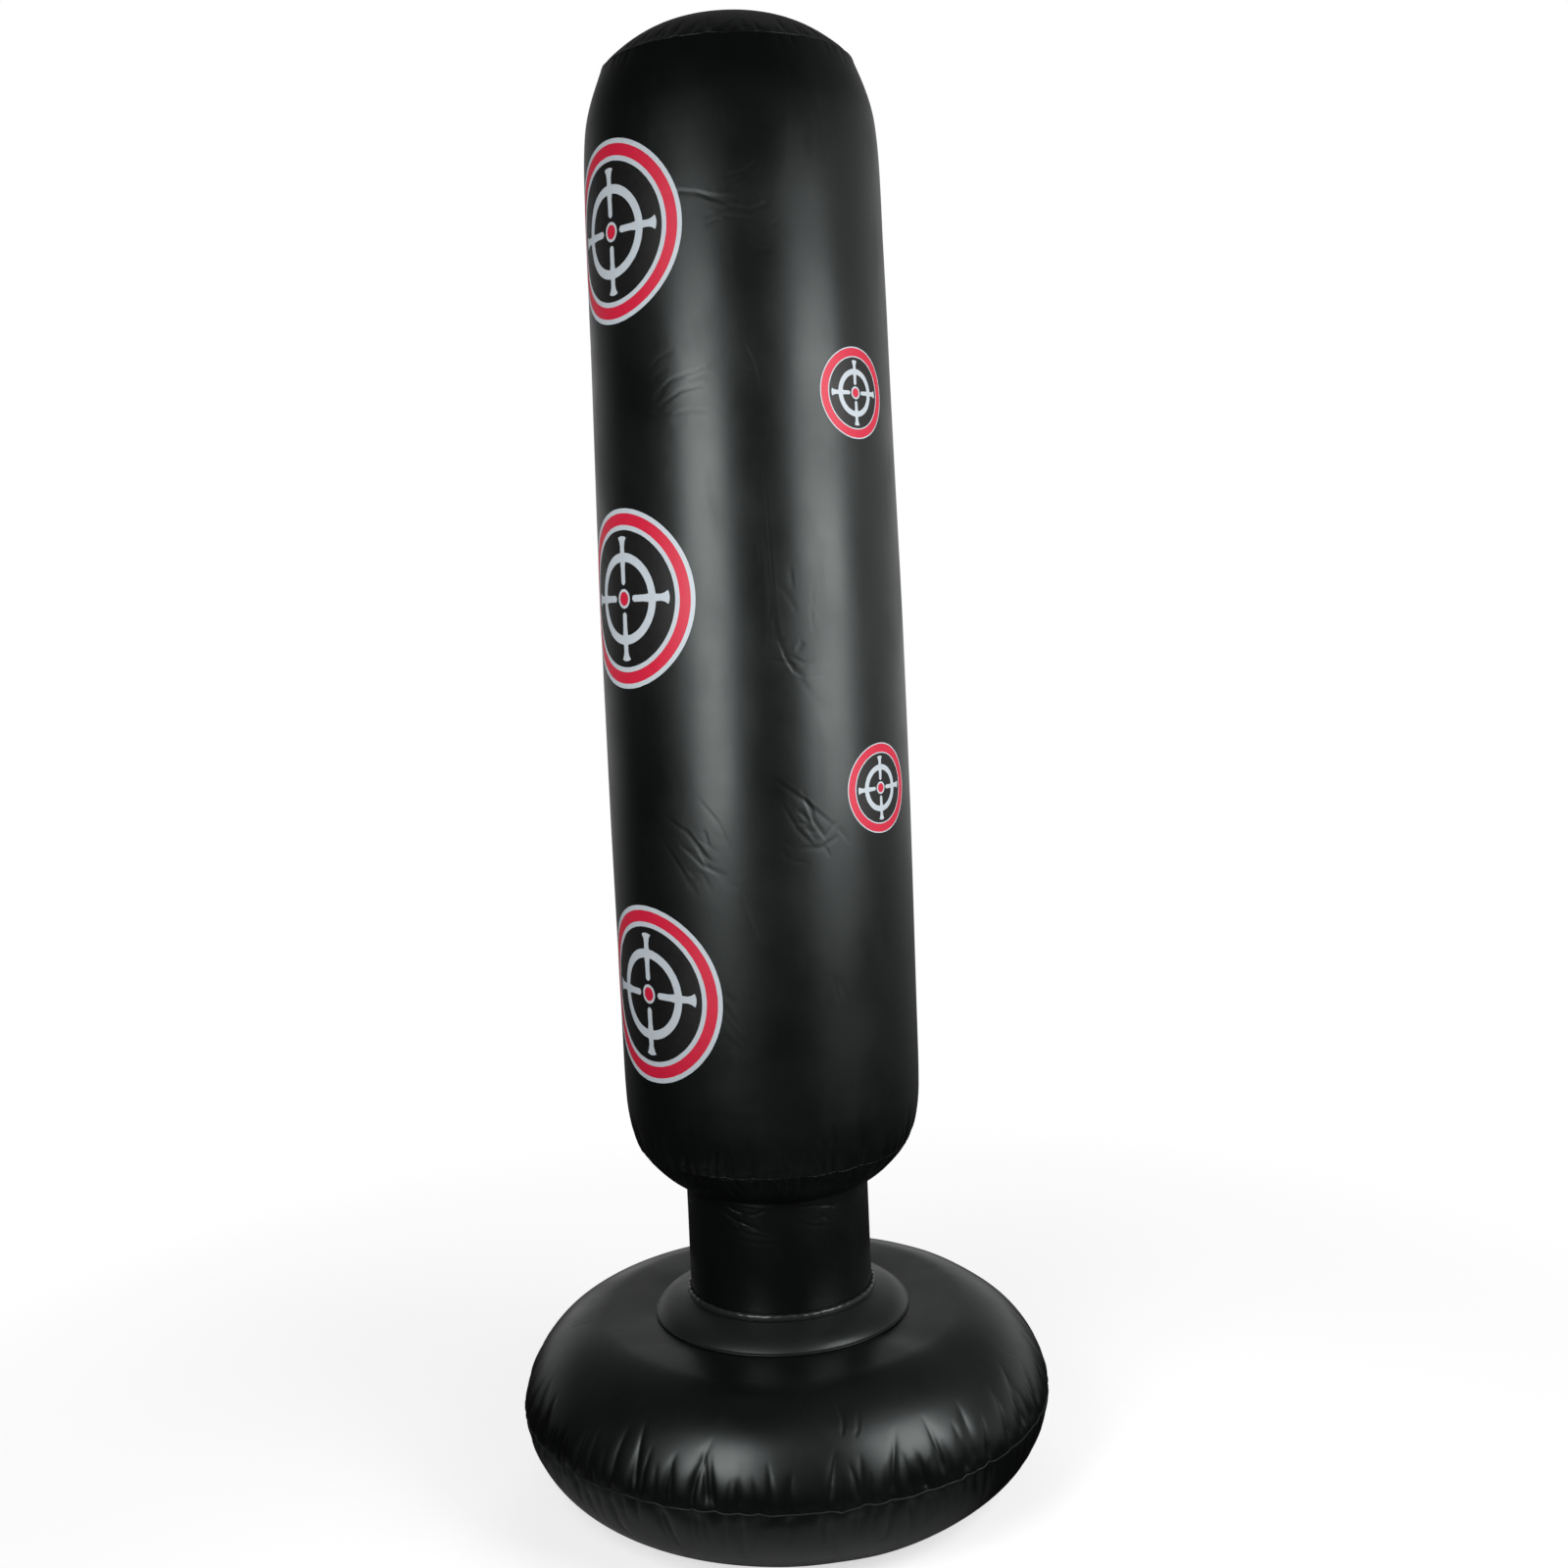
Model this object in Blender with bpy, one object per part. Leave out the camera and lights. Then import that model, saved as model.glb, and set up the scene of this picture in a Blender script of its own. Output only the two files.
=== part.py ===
"""Inflatable free-standing punching tower: an air-filled column on a soft neck and a water-filled base.

Metres, +Z up. The origin is the centre of the base's underside, on the floor. +Y is the back.
Every panel is a welded sheet, modelled with its weld margins turned inside, and the two valves
are at the back.
"""

import math

import bmesh
import bpy
from mathutils import Matrix, Vector

# Sheet and general clearances
FILM = 0.0008
GAP = 0.0003
MARGIN = 0.008
BIG_SEGMENTS = 40
SMALL_SEGMENTS = 24

# Column
COLUMN_RADIUS = 0.154
TOP_SEAM_RADIUS = 0.134
TOP_SEAM_Z = 1.468
SHOULDER_Z = 1.280
SHOULDER_POWER = 3.9
DOME_HEIGHT = 0.049
DOME_POWER = 2.8
BOTTOM_SEAM_RADIUS = 0.143
BOTTOM_SEAM_Z = 0.355
HEEL_Z = 0.411
HEEL_POWER = 2.3
LAP_WIDTH = 0.012
LAP_TURN = math.radians(18)
LAP_END_CLEARANCE = 0.006

# Neck
NECK_RADIUS = 0.0962
NECK_TOP_Z = 0.315
NECK_FOOT_Z = 0.1935
BEAD_RADIUS = 0.0022
SWAY_FORWARD_Z = 0.235
SWAY_SIDEWAYS_Z = 0.275

# Base
BASE_RADIUS = 0.277
BASE_SEAM_Z = 0.0885
CREST_RADIUS = 0.187
CREST_Z = 0.174
CREST_POWER = 1.8
FOOT_RADIUS = 0.184
FOOT_POWER = 1.9
COLLAR_BORE = NECK_RADIUS + FILM
COLLAR_RADIUS = 0.135
COLLAR_EDGE_Z = 0.1722
VALLEY_RADIUS = 0.1385
VALLEY_Z = 0.1668
SLEEVE_RADIUS = 0.128
WATER_LEVEL = 0.146
WATER_CLEARANCE = 0.0006

# Air valve, on the column's back
AIR_VALVE_Z = 0.700
AIR_HOLE_RADIUS = 0.0076
AIR_FLANGE_RADIUS = 0.0165
AIR_FLANGE_TOP = 0.0015
AIR_SOCKET_RADIUS = 0.0070
AIR_SOCKET_BORE = 0.0062
AIR_SOCKET_DEPTH = 0.0120
AIR_STEM_RADIUS = 0.0058
AIR_STEM_BORE = 0.0040
AIR_STEM_TOP = 0.0125
AIR_STEM_DEPTH = 0.0140
AIR_LIP_RADIUS = 0.0066
AIR_LIP_HEIGHT = 0.0020
AIR_PLUG_SHANK = 0.0036
AIR_PLUG_DEPTH = 0.0070
AIR_PLUG_HEAD = 0.0022
AIR_FLAP_RADIUS = 0.0052
AIR_STRAP_WIDTH = 0.0040

# Water filling valve, on the base's back
FILL_HOLE_RADIUS = 0.0166
FILL_FLANGE_RADIUS = 0.0210
FILL_FLANGE_TOP = 0.0015
FILL_SOCKET_RADIUS = 0.0160
FILL_SOCKET_BORE = 0.0135
FILL_SOCKET_DEPTH = 0.0140
FILL_BODY_RADIUS = 0.0131
FILL_BODY_BORE = 0.0095
FILL_BODY_DEPTH = 0.0130
FILL_WEB = 0.0015
FILL_WEB_HOLE = 0.0026
FILL_WEB_PITCH = 0.0056
FILL_HEAD_RADIUS = 0.0180
FILL_HEAD_BOTTOM = 0.0037
FILL_HEAD_TOP = 0.0062
FILL_SEAL_RADIUS = 0.0156
FILL_TETHER_BORE = 0.0159
FILL_TETHER_RADIUS = 0.0196
FILL_TETHER_TOP = 0.0032
FILL_TETHER_REACH = 0.0360
FILL_TETHER_WIDTH = 0.0070
FILL_PIN_RADIUS = 0.0011
FILL_PIN_HOLE = 0.0016
FILL_PIN_HEAD = 0.0024
FILL_DIAPHRAGM_RADIUS = 0.0112
FILL_DIAPHRAGM_TRAVEL = 0.0020
FILL_CAP_SHANK = 0.0091
FILL_CAP_HEAD = 0.0118
FILL_CAP_HEIGHT = 0.0022
FILL_CAP_DEPTH = 0.0060
FILL_STRAP_WIDTH = 0.0050


# Materials

MATERIALS = {
    "pvc_film": ((0.022, 0.023, 0.025), 0.36),
    "pvc_collar": ((0.050, 0.052, 0.055), 0.48),
    "weld_bead": ((0.020, 0.021, 0.023), 0.18),
    "valve_plastic": ((0.030, 0.031, 0.033), 0.30),
    "valve_rubber": ((0.055, 0.055, 0.057), 0.60),
    "ballast_water": ((0.55, 0.68, 0.72), 0.05),
}


def material(slot):
    """The slot's Principled material, made on first use."""
    found = bpy.data.materials.get(slot)
    if found:
        return found
    colour, roughness = MATERIALS[slot]
    made = bpy.data.materials.new(slot)
    made.use_nodes = True
    shader = made.node_tree.nodes["Principled BSDF"]
    shader.inputs["Base Color"].default_value = (*colour, 1.0)
    shader.inputs["Roughness"].default_value = roughness
    shader.inputs["Metallic"].default_value = 0.0
    made.diffuse_color = (*colour, 1.0)
    return made


# Objects and their places


def pivot(name, location, parent=None, turn=(0.0, 0.0, 0.0)):
    """An empty on a joint's axis. Its location is in its parent's frame."""
    empty = bpy.data.objects.new(name, None)
    bpy.context.scene.collection.objects.link(empty)
    empty.empty_display_size = 0.02
    empty.parent = parent
    empty.location = location
    empty.rotation_euler = turn
    return empty


def object_from(name, shape, slot, parent=None, location=(0.0, 0.0, 0.0)):
    """Links a finished bmesh as a named object with its material."""
    bmesh.ops.recalc_face_normals(shape, faces=shape.faces)
    mesh = bpy.data.meshes.new(name)
    shape.to_mesh(mesh)
    shape.free()
    mesh.shade_smooth()
    mesh.set_sharp_from_angle(angle=math.radians(35))
    made = bpy.data.objects.new(name, mesh)
    bpy.context.scene.collection.objects.link(made)
    made.data.materials.append(material(slot))
    made.parent = parent
    made.location = location
    return made


def cut(target, cutter):
    """Cuts one object with another that the model doesn't show."""
    cutter.hide_render = True
    cutter.display_type = "WIRE"
    boolean = target.modifiers.new(cutter.name, "BOOLEAN")
    boolean.operation = "DIFFERENCE"
    boolean.object = cutter


def weld(target, added):
    """Joins another object's solid to the target as one body."""
    added.hide_render = True
    added.display_type = "WIRE"
    boolean = target.modifiers.new(added.name, "BOOLEAN")
    boolean.operation = "UNION"
    boolean.object = added


# Sections: lists of (radius, height) points, in order, with the solid on the path's right


def offset(path, distance):
    """The path moved to its right, with mitred corners. A point on the axis stays on it."""
    points = [Vector(point) for point in path]
    steps = [(b - a).normalized() for a, b in zip(points, points[1:])]
    sides = [Vector((step.y, -step.x)) for step in steps]
    moved = []
    for index, point in enumerate(points):
        near = sides[max(index - 1, 0) : index + 1]
        mitre = sum(near, Vector((0.0, 0.0))).normalized()
        shifted = point + mitre * (distance / mitre.dot(near[0]))
        if point.x == 0.0:
            shifted.x = 0.0
        moved.append(shifted)
    return moved


def film(path, thickness=FILM):
    """The closed section of a sheet whose outer face is the path."""
    return [Vector(point) for point in path] + list(reversed(offset(path, thickness)))


def arc(centre, radius, start, end, count):
    """Points on an arc, with the angles in degrees."""
    angles = [math.radians(start + (end - start) * i / count) for i in range(count + 1)]
    return [(centre[0] + radius * math.cos(a), centre[1] + radius * math.sin(a)) for a in angles]


def superellipse(centre, width, height, power, start, end, count):
    """Points on a quarter superellipse, from one angle to another in degrees."""
    points = []
    for i in range(count + 1):
        angle = math.radians(start + (end - start) * i / count)
        across = max(math.cos(angle), 0.0) ** (2 / power)
        up = math.copysign(abs(math.sin(angle)) ** (2 / power), math.sin(angle))
        points.append((centre[0] + width * across, centre[1] + height * up))
    return points


def bezier(start, control, end, count):
    """Points on a quadratic curve, both ends included."""
    a, b, c = Vector(start), Vector(control), Vector(end)
    shares = [i / count for i in range(count + 1)]
    return [a * (1 - t) ** 2 + b * 2 * t * (1 - t) + c * t * t for t in shares]


def turned(name, section, slot, segments=BIG_SEGMENTS, parent=None, location=(0.0, 0.0, 0.0)):
    """A solid of revolution about its own Z axis, with a flat facet facing each axis direction."""
    shape = bmesh.new()
    corners = [shape.verts.new((point[0], 0.0, point[1])) for point in section]
    for first, second in zip(corners, corners[1:] + corners[:1]):
        if first.co.x > 0.0 or second.co.x > 0.0:
            shape.edges.new((first, second))
    half_step = Matrix.Rotation(math.pi / segments, 4, "Z")
    bmesh.ops.transform(shape, matrix=half_step, verts=shape.verts)
    bmesh.ops.spin(
        shape,
        geom=shape.verts[:] + shape.edges[:],
        cent=(0, 0, 0),
        axis=(0, 0, 1),
        angle=2 * math.pi,
        steps=segments,
        use_merge=True,
    )
    bmesh.ops.remove_doubles(shape, verts=shape.verts, dist=1e-6)
    return object_from(name, shape, slot, parent, location)


def strip(name, path, thickness, width, slot, parent=None):
    """A flat strap whose lower face follows a path in its own XZ plane."""
    shape = bmesh.new()
    outline = [Vector(point) for point in path] + list(reversed(offset(path, -thickness)))
    near = [shape.verts.new((point.x, -width / 2, point.y)) for point in outline]
    side = shape.faces.new(near)
    grown = bmesh.ops.extrude_face_region(shape, geom=[side])
    far = [item for item in grown["geom"] if isinstance(item, bmesh.types.BMVert)]
    bmesh.ops.translate(shape, vec=(0, width, 0), verts=far)
    return object_from(name, shape, slot, parent)


def rod(name, radius, bottom, top, segments, parent, location=(0.0, 0.0, 0.0)):
    """A round cutter along its parent's Z axis."""
    section = [(0.0, top), (radius, top), (radius, bottom), (0.0, bottom)]
    return turned(name, section, "valve_plastic", segments, parent, location)


# Outer faces of the column and the base


def top_seam_fin(side):
    """The inner end and the root of the top seam's weld margin. side is 1 above it, -1 below."""
    along = Vector((-0.83, -0.56)).normalized()
    across = Vector((along.y, -along.x)) * side * GAP / 2
    root = Vector((TOP_SEAM_RADIUS, TOP_SEAM_Z)) + across
    return root + along * MARGIN, root


def bottom_seam_fin(side):
    """The inner end and the root of the bottom seam's weld margin. side is 1 above it, -1 below."""
    along = Vector((-0.95, 0.31)).normalized()
    across = Vector((along.y, -along.x)) * side * GAP / 2
    root = Vector((BOTTOM_SEAM_RADIUS, BOTTOM_SEAM_Z)) + across
    return root + along * MARGIN, root


def wall_path():
    """From the top seam down to the bottom seam, with both weld margins."""
    top_end, top_root = top_seam_fin(-1)
    bottom_end, bottom_root = bottom_seam_fin(1)
    shoulder = []
    for share in (0.88, 0.72, 0.5, 0.0):
        inward = (COLUMN_RADIUS - TOP_SEAM_RADIUS) * share**SHOULDER_POWER
        shoulder.append((COLUMN_RADIUS - inward, SHOULDER_Z + (TOP_SEAM_Z - SHOULDER_Z) * share))
    heel = []
    for share in (0.0, 0.4, 0.7):
        inward = (COLUMN_RADIUS - BOTTOM_SEAM_RADIUS) * share**HEEL_POWER
        heel.append((COLUMN_RADIUS - inward, HEEL_Z - (HEEL_Z - BOTTOM_SEAM_Z) * share))
    return [top_end, top_root, *shoulder, *heel, bottom_root, bottom_end]


def dome_path():
    """From the axis out to the top seam and in along its weld margin."""
    end, root = top_seam_fin(1)
    crown = []
    for share in (0.0, 0.3, 0.55, 0.75, 0.9):
        crown.append((TOP_SEAM_RADIUS * share, TOP_SEAM_Z + DOME_HEIGHT * (1 - share**DOME_POWER)))
    return [*crown, root, end]


def heel_path():
    """From the bottom seam in to the neck, where the edge turns up round the neck tube."""
    end, root = bottom_seam_fin(-1)
    ring = NECK_RADIUS + GAP
    under = bezier(root, (0.134, 0.318), (ring, NECK_TOP_Z), 5)
    return [end, *under, (ring, NECK_TOP_Z + MARGIN)]


def cone_height(radius):
    """The height of the collar's top face at a radius."""
    share = (radius - COLLAR_BORE) / (COLLAR_RADIUS - COLLAR_BORE)
    return NECK_FOOT_Z + (COLLAR_EDGE_Z - NECK_FOOT_Z) * share


def under_collar(radius):
    """A point on the base's top face, under the collar."""
    slope = math.atan2(NECK_FOOT_Z - COLLAR_EDGE_Z, COLLAR_RADIUS - COLLAR_BORE)
    return radius, cone_height(radius) - (FILM + GAP) / math.cos(slope)


def base_top_path():
    """From the neck out over the crest to the base's seam, and in along its weld margin."""
    inner, outer = under_collar(NECK_RADIUS + GAP), under_collar(COLLAR_RADIUS)
    rise = []
    for share in (1.0, 0.6, 0.3):
        radius = CREST_RADIUS - (CREST_RADIUS - VALLEY_RADIUS) * share
        rise.append((radius, CREST_Z - (CREST_Z - VALLEY_Z) * share**2))
    seam_z = BASE_SEAM_Z + GAP / 2
    size = (BASE_RADIUS - CREST_RADIUS, CREST_Z - seam_z)
    shoulder = superellipse((CREST_RADIUS, seam_z), *size, CREST_POWER, 90, 0, 6)
    hem = (inner[0], inner[1] - MARGIN)
    return [hem, inner, outer, *rise, *shoulder, (BASE_RADIUS - MARGIN, seam_z)]


def base_bottom_path():
    """From the base's seam margin down round the heel and across the floor to the axis."""
    seam_z = BASE_SEAM_Z - GAP / 2
    size = (BASE_RADIUS - FOOT_RADIUS, seam_z)
    heel = superellipse((FOOT_RADIUS, seam_z), *size, FOOT_POWER, 0, -90, 6)
    return [(BASE_RADIUS - MARGIN, seam_z), *heel, (0.0, 0.0)]


# Base


def make_base_panels():
    turned("base_top_panel", film(base_top_path()), "pvc_film")
    turned("base_bottom_panel", film(base_bottom_path()), "pvc_film")
    collar = [(radius, cone_height(radius)) for radius in (COLLAR_BORE, COLLAR_RADIUS)]
    turned("neck_collar", film(collar), "pvc_collar")


def make_neck_bead():
    """The round weld bead in the corner between the neck and the collar."""
    centre = (NECK_RADIUS + GAP + BEAD_RADIUS, NECK_FOOT_Z + GAP + BEAD_RADIUS)
    section = arc(centre, BEAD_RADIUS, 360, 60, 5)
    turned("neck_weld_bead", section, "weld_bead")


def make_core_sleeve():
    """The tube that parts the air under the neck from the water round it."""
    below = FILM + 2 * GAP
    floor = FILM + GAP
    in_edge = SLEEVE_RADIUS - MARGIN
    path = [
        (in_edge, under_collar(in_edge)[1] - below),
        (SLEEVE_RADIUS, under_collar(SLEEVE_RADIUS)[1] - below),
        (SLEEVE_RADIUS, floor),
        (in_edge, floor),
    ]
    turned("core_sleeve", film(path), "pvc_film")


def make_water():
    """The ballast: a ring of water up to its level, clear of the seam's weld margin."""
    inset = FILM + WATER_CLEARANCE
    seam_room = FILM + 2 * GAP
    outline = offset(base_top_path(), inset)
    upper = [p for p in outline if p.x > CREST_RADIUS and BASE_SEAM_Z + 0.01 < p.y < WATER_LEVEL]
    outline = offset(base_bottom_path(), inset)
    lower = [p for p in outline if p.x > FOOT_RADIUS - 0.001 and p.y < BASE_SEAM_Z - 0.01]
    top_radius = surface_radius_at(WATER_LEVEL) - inset - 0.001
    notch = BASE_RADIUS - MARGIN - WATER_CLEARANCE
    inner = SLEEVE_RADIUS + WATER_CLEARANCE
    section = [
        (inner, WATER_LEVEL),
        (top_radius, WATER_LEVEL),
        *upper,
        (notch, BASE_SEAM_Z + seam_room),
        (notch, BASE_SEAM_Z - seam_room),
        *lower,
        (inner, inset),
    ]
    turned("water_fill", section, "ballast_water")


def surface_radius_at(height):
    """The base's outer radius at a height above its seam."""
    share = (height - BASE_SEAM_Z) / (CREST_Z - BASE_SEAM_Z)
    reach = (1 - share**CREST_POWER) ** (1 / CREST_POWER)
    return CREST_RADIUS + (BASE_RADIUS - CREST_RADIUS) * reach


# Neck and column


def make_neck(neck):
    top = NECK_TOP_Z + MARGIN
    foot = under_collar(NECK_RADIUS)[1] - MARGIN
    path = [(NECK_RADIUS, top), (NECK_RADIUS, foot)]
    turned("neck_tube", film(path), "pvc_film", parent=neck, location=(0, 0, -SWAY_FORWARD_Z))


def make_column(column):
    down = (0, 0, -SWAY_SIDEWAYS_Z)
    turned("column_top_panel", film(dome_path()), "pvc_film", parent=column, location=down)
    turned("column_bottom_panel", film(heel_path()), "pvc_film", parent=column, location=down)
    wall = turned("column_wall_panel", film(wall_path()), "pvc_film", parent=column, location=down)
    weld(wall, make_lap(column))
    return wall


def make_lap(column):
    """The strip where the wall's sheet laps over its own edge, straight up beside the valve."""
    facet = COLUMN_RADIUS * math.cos(math.pi / BIG_SEGMENTS)
    inner, outer = facet - FILM / 2, facet + FILM
    bottom = HEEL_Z + LAP_END_CLEARANCE - SWAY_SIDEWAYS_Z
    top = SHOULDER_Z - LAP_END_CLEARANCE - SWAY_SIDEWAYS_Z
    shape = bmesh.new()
    size = Vector((LAP_WIDTH, outer - inner, top - bottom))
    middle = Vector((0, (inner + outer) / 2, (top + bottom) / 2))
    bmesh.ops.create_cube(shape, size=1.0)
    bmesh.ops.scale(shape, vec=size, verts=shape.verts)
    bmesh.ops.translate(shape, vec=middle, verts=shape.verts)
    bmesh.ops.transform(shape, matrix=Matrix.Rotation(LAP_TURN, 4, "Z"), verts=shape.verts)
    return object_from("wall_lap", shape, "pvc_film", column)


# Air valve: a push-in stem with a check flap and a plug on a strap


def make_air_valve(column, wall):
    facet = COLUMN_RADIUS * math.cos(math.pi / BIG_SEGMENTS)
    place = (0.0, facet, AIR_VALVE_Z - SWAY_SIDEWAYS_Z)
    valve = pivot("air_valve", place, column, (-math.pi / 2, 0.0, 0.0))
    cut(wall, rod("air_hole", AIR_HOLE_RADIUS, -0.01, 0.01, SMALL_SEGMENTS, valve))

    flange = [
        (AIR_SOCKET_BORE, AIR_FLANGE_TOP),
        (AIR_FLANGE_RADIUS - 0.0006, AIR_FLANGE_TOP),
        (AIR_FLANGE_RADIUS, AIR_FLANGE_TOP - 0.0006),
        (AIR_FLANGE_RADIUS, GAP),
        (AIR_SOCKET_RADIUS, GAP),
        (AIR_SOCKET_RADIUS, -AIR_SOCKET_DEPTH),
        (AIR_SOCKET_BORE, -AIR_SOCKET_DEPTH),
    ]
    turned("air_valve_flange", flange, "valve_plastic", SMALL_SEGMENTS, valve)

    lip_bottom = AIR_STEM_TOP - AIR_LIP_HEIGHT
    stem = [
        (AIR_STEM_BORE, AIR_STEM_TOP),
        (AIR_LIP_RADIUS, AIR_STEM_TOP),
        (AIR_LIP_RADIUS, lip_bottom),
        (AIR_STEM_RADIUS, lip_bottom),
        (AIR_STEM_RADIUS, -AIR_STEM_DEPTH),
        (AIR_STEM_BORE, -AIR_STEM_DEPTH),
    ]
    stem_pivot = pivot("air_stem", (0, 0, 0), valve)
    turned("air_valve_stem", stem, "valve_plastic", SMALL_SEGMENTS, stem_pivot)

    head = AIR_STEM_TOP + GAP
    plug = [
        (0.0, head + AIR_PLUG_HEAD),
        (AIR_LIP_RADIUS - 0.0005, head + AIR_PLUG_HEAD),
        (AIR_LIP_RADIUS, head + AIR_PLUG_HEAD - 0.0005),
        (AIR_LIP_RADIUS, head),
        (AIR_PLUG_SHANK, head),
        (AIR_PLUG_SHANK, head - AIR_PLUG_DEPTH + 0.001),
        (AIR_PLUG_SHANK - 0.001, head - AIR_PLUG_DEPTH),
        (0.0, head - AIR_PLUG_DEPTH),
    ]
    plug_pivot = pivot("air_plug", (0, 0, 0), stem_pivot)
    turned("air_valve_plug", plug, "valve_plastic", SMALL_SEGMENTS, plug_pivot)

    root = AIR_LIP_RADIUS + GAP
    loop = [
        (root, head + 0.0016),
        (root + 0.0020, head + 0.0016),
        (root + 0.0036, head + 0.0006),
        (root + 0.0036, head - 0.0012),
        (root + 0.0020, head - 0.0022),
        (root, head - 0.0022),
    ]
    strip("air_plug_strap", list(reversed(loop)), FILM, AIR_STRAP_WIDTH, "valve_plastic", stem_pivot)

    hinge = pivot("air_flap", (AIR_FLAP_RADIUS, 0, -AIR_STEM_DEPTH - GAP), stem_pivot)
    flap = [(0.0, 0.0), (AIR_FLAP_RADIUS, 0.0), (AIR_FLAP_RADIUS, -FILM), (0.0, -FILM)]
    centre = (-AIR_FLAP_RADIUS, 0, 0)
    turned("air_check_flap", flap, "valve_rubber", SMALL_SEGMENTS, hinge, centre)


# Water valve: a screw-in body with a diaphragm and a cap, in a seat welded to the base


def make_fill_valve():
    valve = pivot("fill_valve", (0, CREST_RADIUS, CREST_Z))
    panel = bpy.data.objects["base_top_panel"]
    cut(panel, rod("fill_hole", FILL_HOLE_RADIUS, -0.03, 0.02, SMALL_SEGMENTS, valve))
    make_fill_seat(valve)
    lift = pivot("fill_lift", (0, 0, 0), valve)
    make_fill_tether(lift)
    spin = pivot("fill_spin", (0, 0, 0), lift)
    make_fill_body(spin)
    make_fill_diaphragm(pivot("fill_diaphragm", (0, 0, 0), spin))
    make_fill_cap(pivot("fill_cap", (0, 0, 0), spin))
    rise = FILL_HEAD_TOP + GAP
    path = [
        (FILL_CAP_HEAD + GAP, rise + 0.0006),
        (FILL_CAP_HEAD + 0.0018, rise + 0.0009),
        (FILL_CAP_HEAD + 0.0032, rise),
        (FILL_CAP_HEAD + 0.0056, rise),
    ]
    strip("fill_cap_strap", path, FILM, FILL_STRAP_WIDTH, "valve_plastic", spin)


def make_fill_seat(valve):
    seat = [
        (FILL_SOCKET_BORE, FILL_FLANGE_TOP),
        (FILL_FLANGE_RADIUS - 0.0006, FILL_FLANGE_TOP),
        (FILL_FLANGE_RADIUS, FILL_FLANGE_TOP - 0.0006),
        (FILL_FLANGE_RADIUS, GAP),
        (FILL_SOCKET_RADIUS, GAP),
        (FILL_SOCKET_RADIUS, -FILL_SOCKET_DEPTH),
        (FILL_SOCKET_BORE, -FILL_SOCKET_DEPTH),
    ]
    turned("fill_valve_seat", seat, "valve_plastic", SMALL_SEGMENTS, valve)


def make_fill_tether(lift):
    """A flat ring round the body's neck, with a tail welded to the base beside the valve."""
    bottom = FILL_FLANGE_TOP + GAP
    ring = [
        (FILL_TETHER_BORE, FILL_TETHER_TOP),
        (FILL_TETHER_RADIUS, FILL_TETHER_TOP),
        (FILL_TETHER_RADIUS, bottom),
        (FILL_TETHER_BORE, bottom),
    ]
    tether = turned("fill_valve_tether", ring, "valve_rubber", SMALL_SEGMENTS, lift)
    tail = [
        (FILL_TETHER_BORE + 0.0018, bottom + 0.0002),
        (FILL_FLANGE_RADIUS + 0.0010, bottom + 0.0002),
        (FILL_FLANGE_RADIUS + 0.0050, GAP),
        (FILL_TETHER_REACH, GAP),
    ]
    weld(tether, strip("tether_tail", tail, FILM, FILL_TETHER_WIDTH, "valve_rubber", lift))


def make_fill_body(spin):
    """A tube with a round head, closed below by a web with four openings and a pin hole."""
    web_top = -FILL_BODY_DEPTH + FILL_WEB
    body = [
        (FILL_PIN_HOLE, web_top),
        (FILL_BODY_BORE, web_top),
        (FILL_BODY_BORE, FILL_HEAD_TOP),
        (FILL_HEAD_RADIUS - 0.0006, FILL_HEAD_TOP),
        (FILL_HEAD_RADIUS, FILL_HEAD_TOP - 0.0006),
        (FILL_HEAD_RADIUS, FILL_HEAD_BOTTOM),
        (FILL_BODY_RADIUS, FILL_HEAD_BOTTOM),
        (FILL_BODY_RADIUS, -FILL_BODY_DEPTH),
        (FILL_PIN_HOLE, -FILL_BODY_DEPTH),
    ]
    tube = turned("fill_valve_body", body, "valve_plastic", SMALL_SEGMENTS, spin)
    for index in range(4):
        angle = math.radians(90 * index)
        place = (FILL_WEB_PITCH * math.cos(angle), FILL_WEB_PITCH * math.sin(angle), 0.0)
        top = web_top + 0.002
        cut(tube, rod(f"web_hole_{index}", FILL_WEB_HOLE, -0.02, top, 12, spin, place))
    seal_bottom = FILL_FLANGE_TOP + GAP
    seal_top = FILL_HEAD_BOTTOM - GAP
    inner = FILL_BODY_RADIUS + GAP
    middle = (seal_bottom + seal_top) / 2
    seal = [
        (inner, seal_top - 0.0004),
        (inner + 0.0004, seal_top),
        (FILL_SEAL_RADIUS - 0.0004, seal_top),
        (FILL_SEAL_RADIUS, middle),
        (FILL_SEAL_RADIUS - 0.0004, seal_bottom),
        (inner + 0.0004, seal_bottom),
        (inner, seal_bottom + 0.0004),
    ]
    turned("fill_valve_seal", seal, "valve_rubber", SMALL_SEGMENTS, spin)


def make_fill_diaphragm(place):
    """A thin disc under the web, on a pin whose head stays above it."""
    disc_top = -FILL_BODY_DEPTH - GAP
    web_top = -FILL_BODY_DEPTH + FILL_WEB
    head = web_top + FILL_DIAPHRAGM_TRAVEL + GAP
    section = [
        (0.0, head + 0.0014),
        (FILL_PIN_HEAD, head + 0.0006),
        (FILL_PIN_HEAD, head),
        (FILL_PIN_RADIUS, head),
        (FILL_PIN_RADIUS, disc_top),
        (FILL_DIAPHRAGM_RADIUS, disc_top),
        (FILL_DIAPHRAGM_RADIUS, disc_top - FILM),
        (0.0, disc_top - FILM),
    ]
    turned("fill_valve_diaphragm", section, "valve_rubber", SMALL_SEGMENTS, place)


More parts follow.
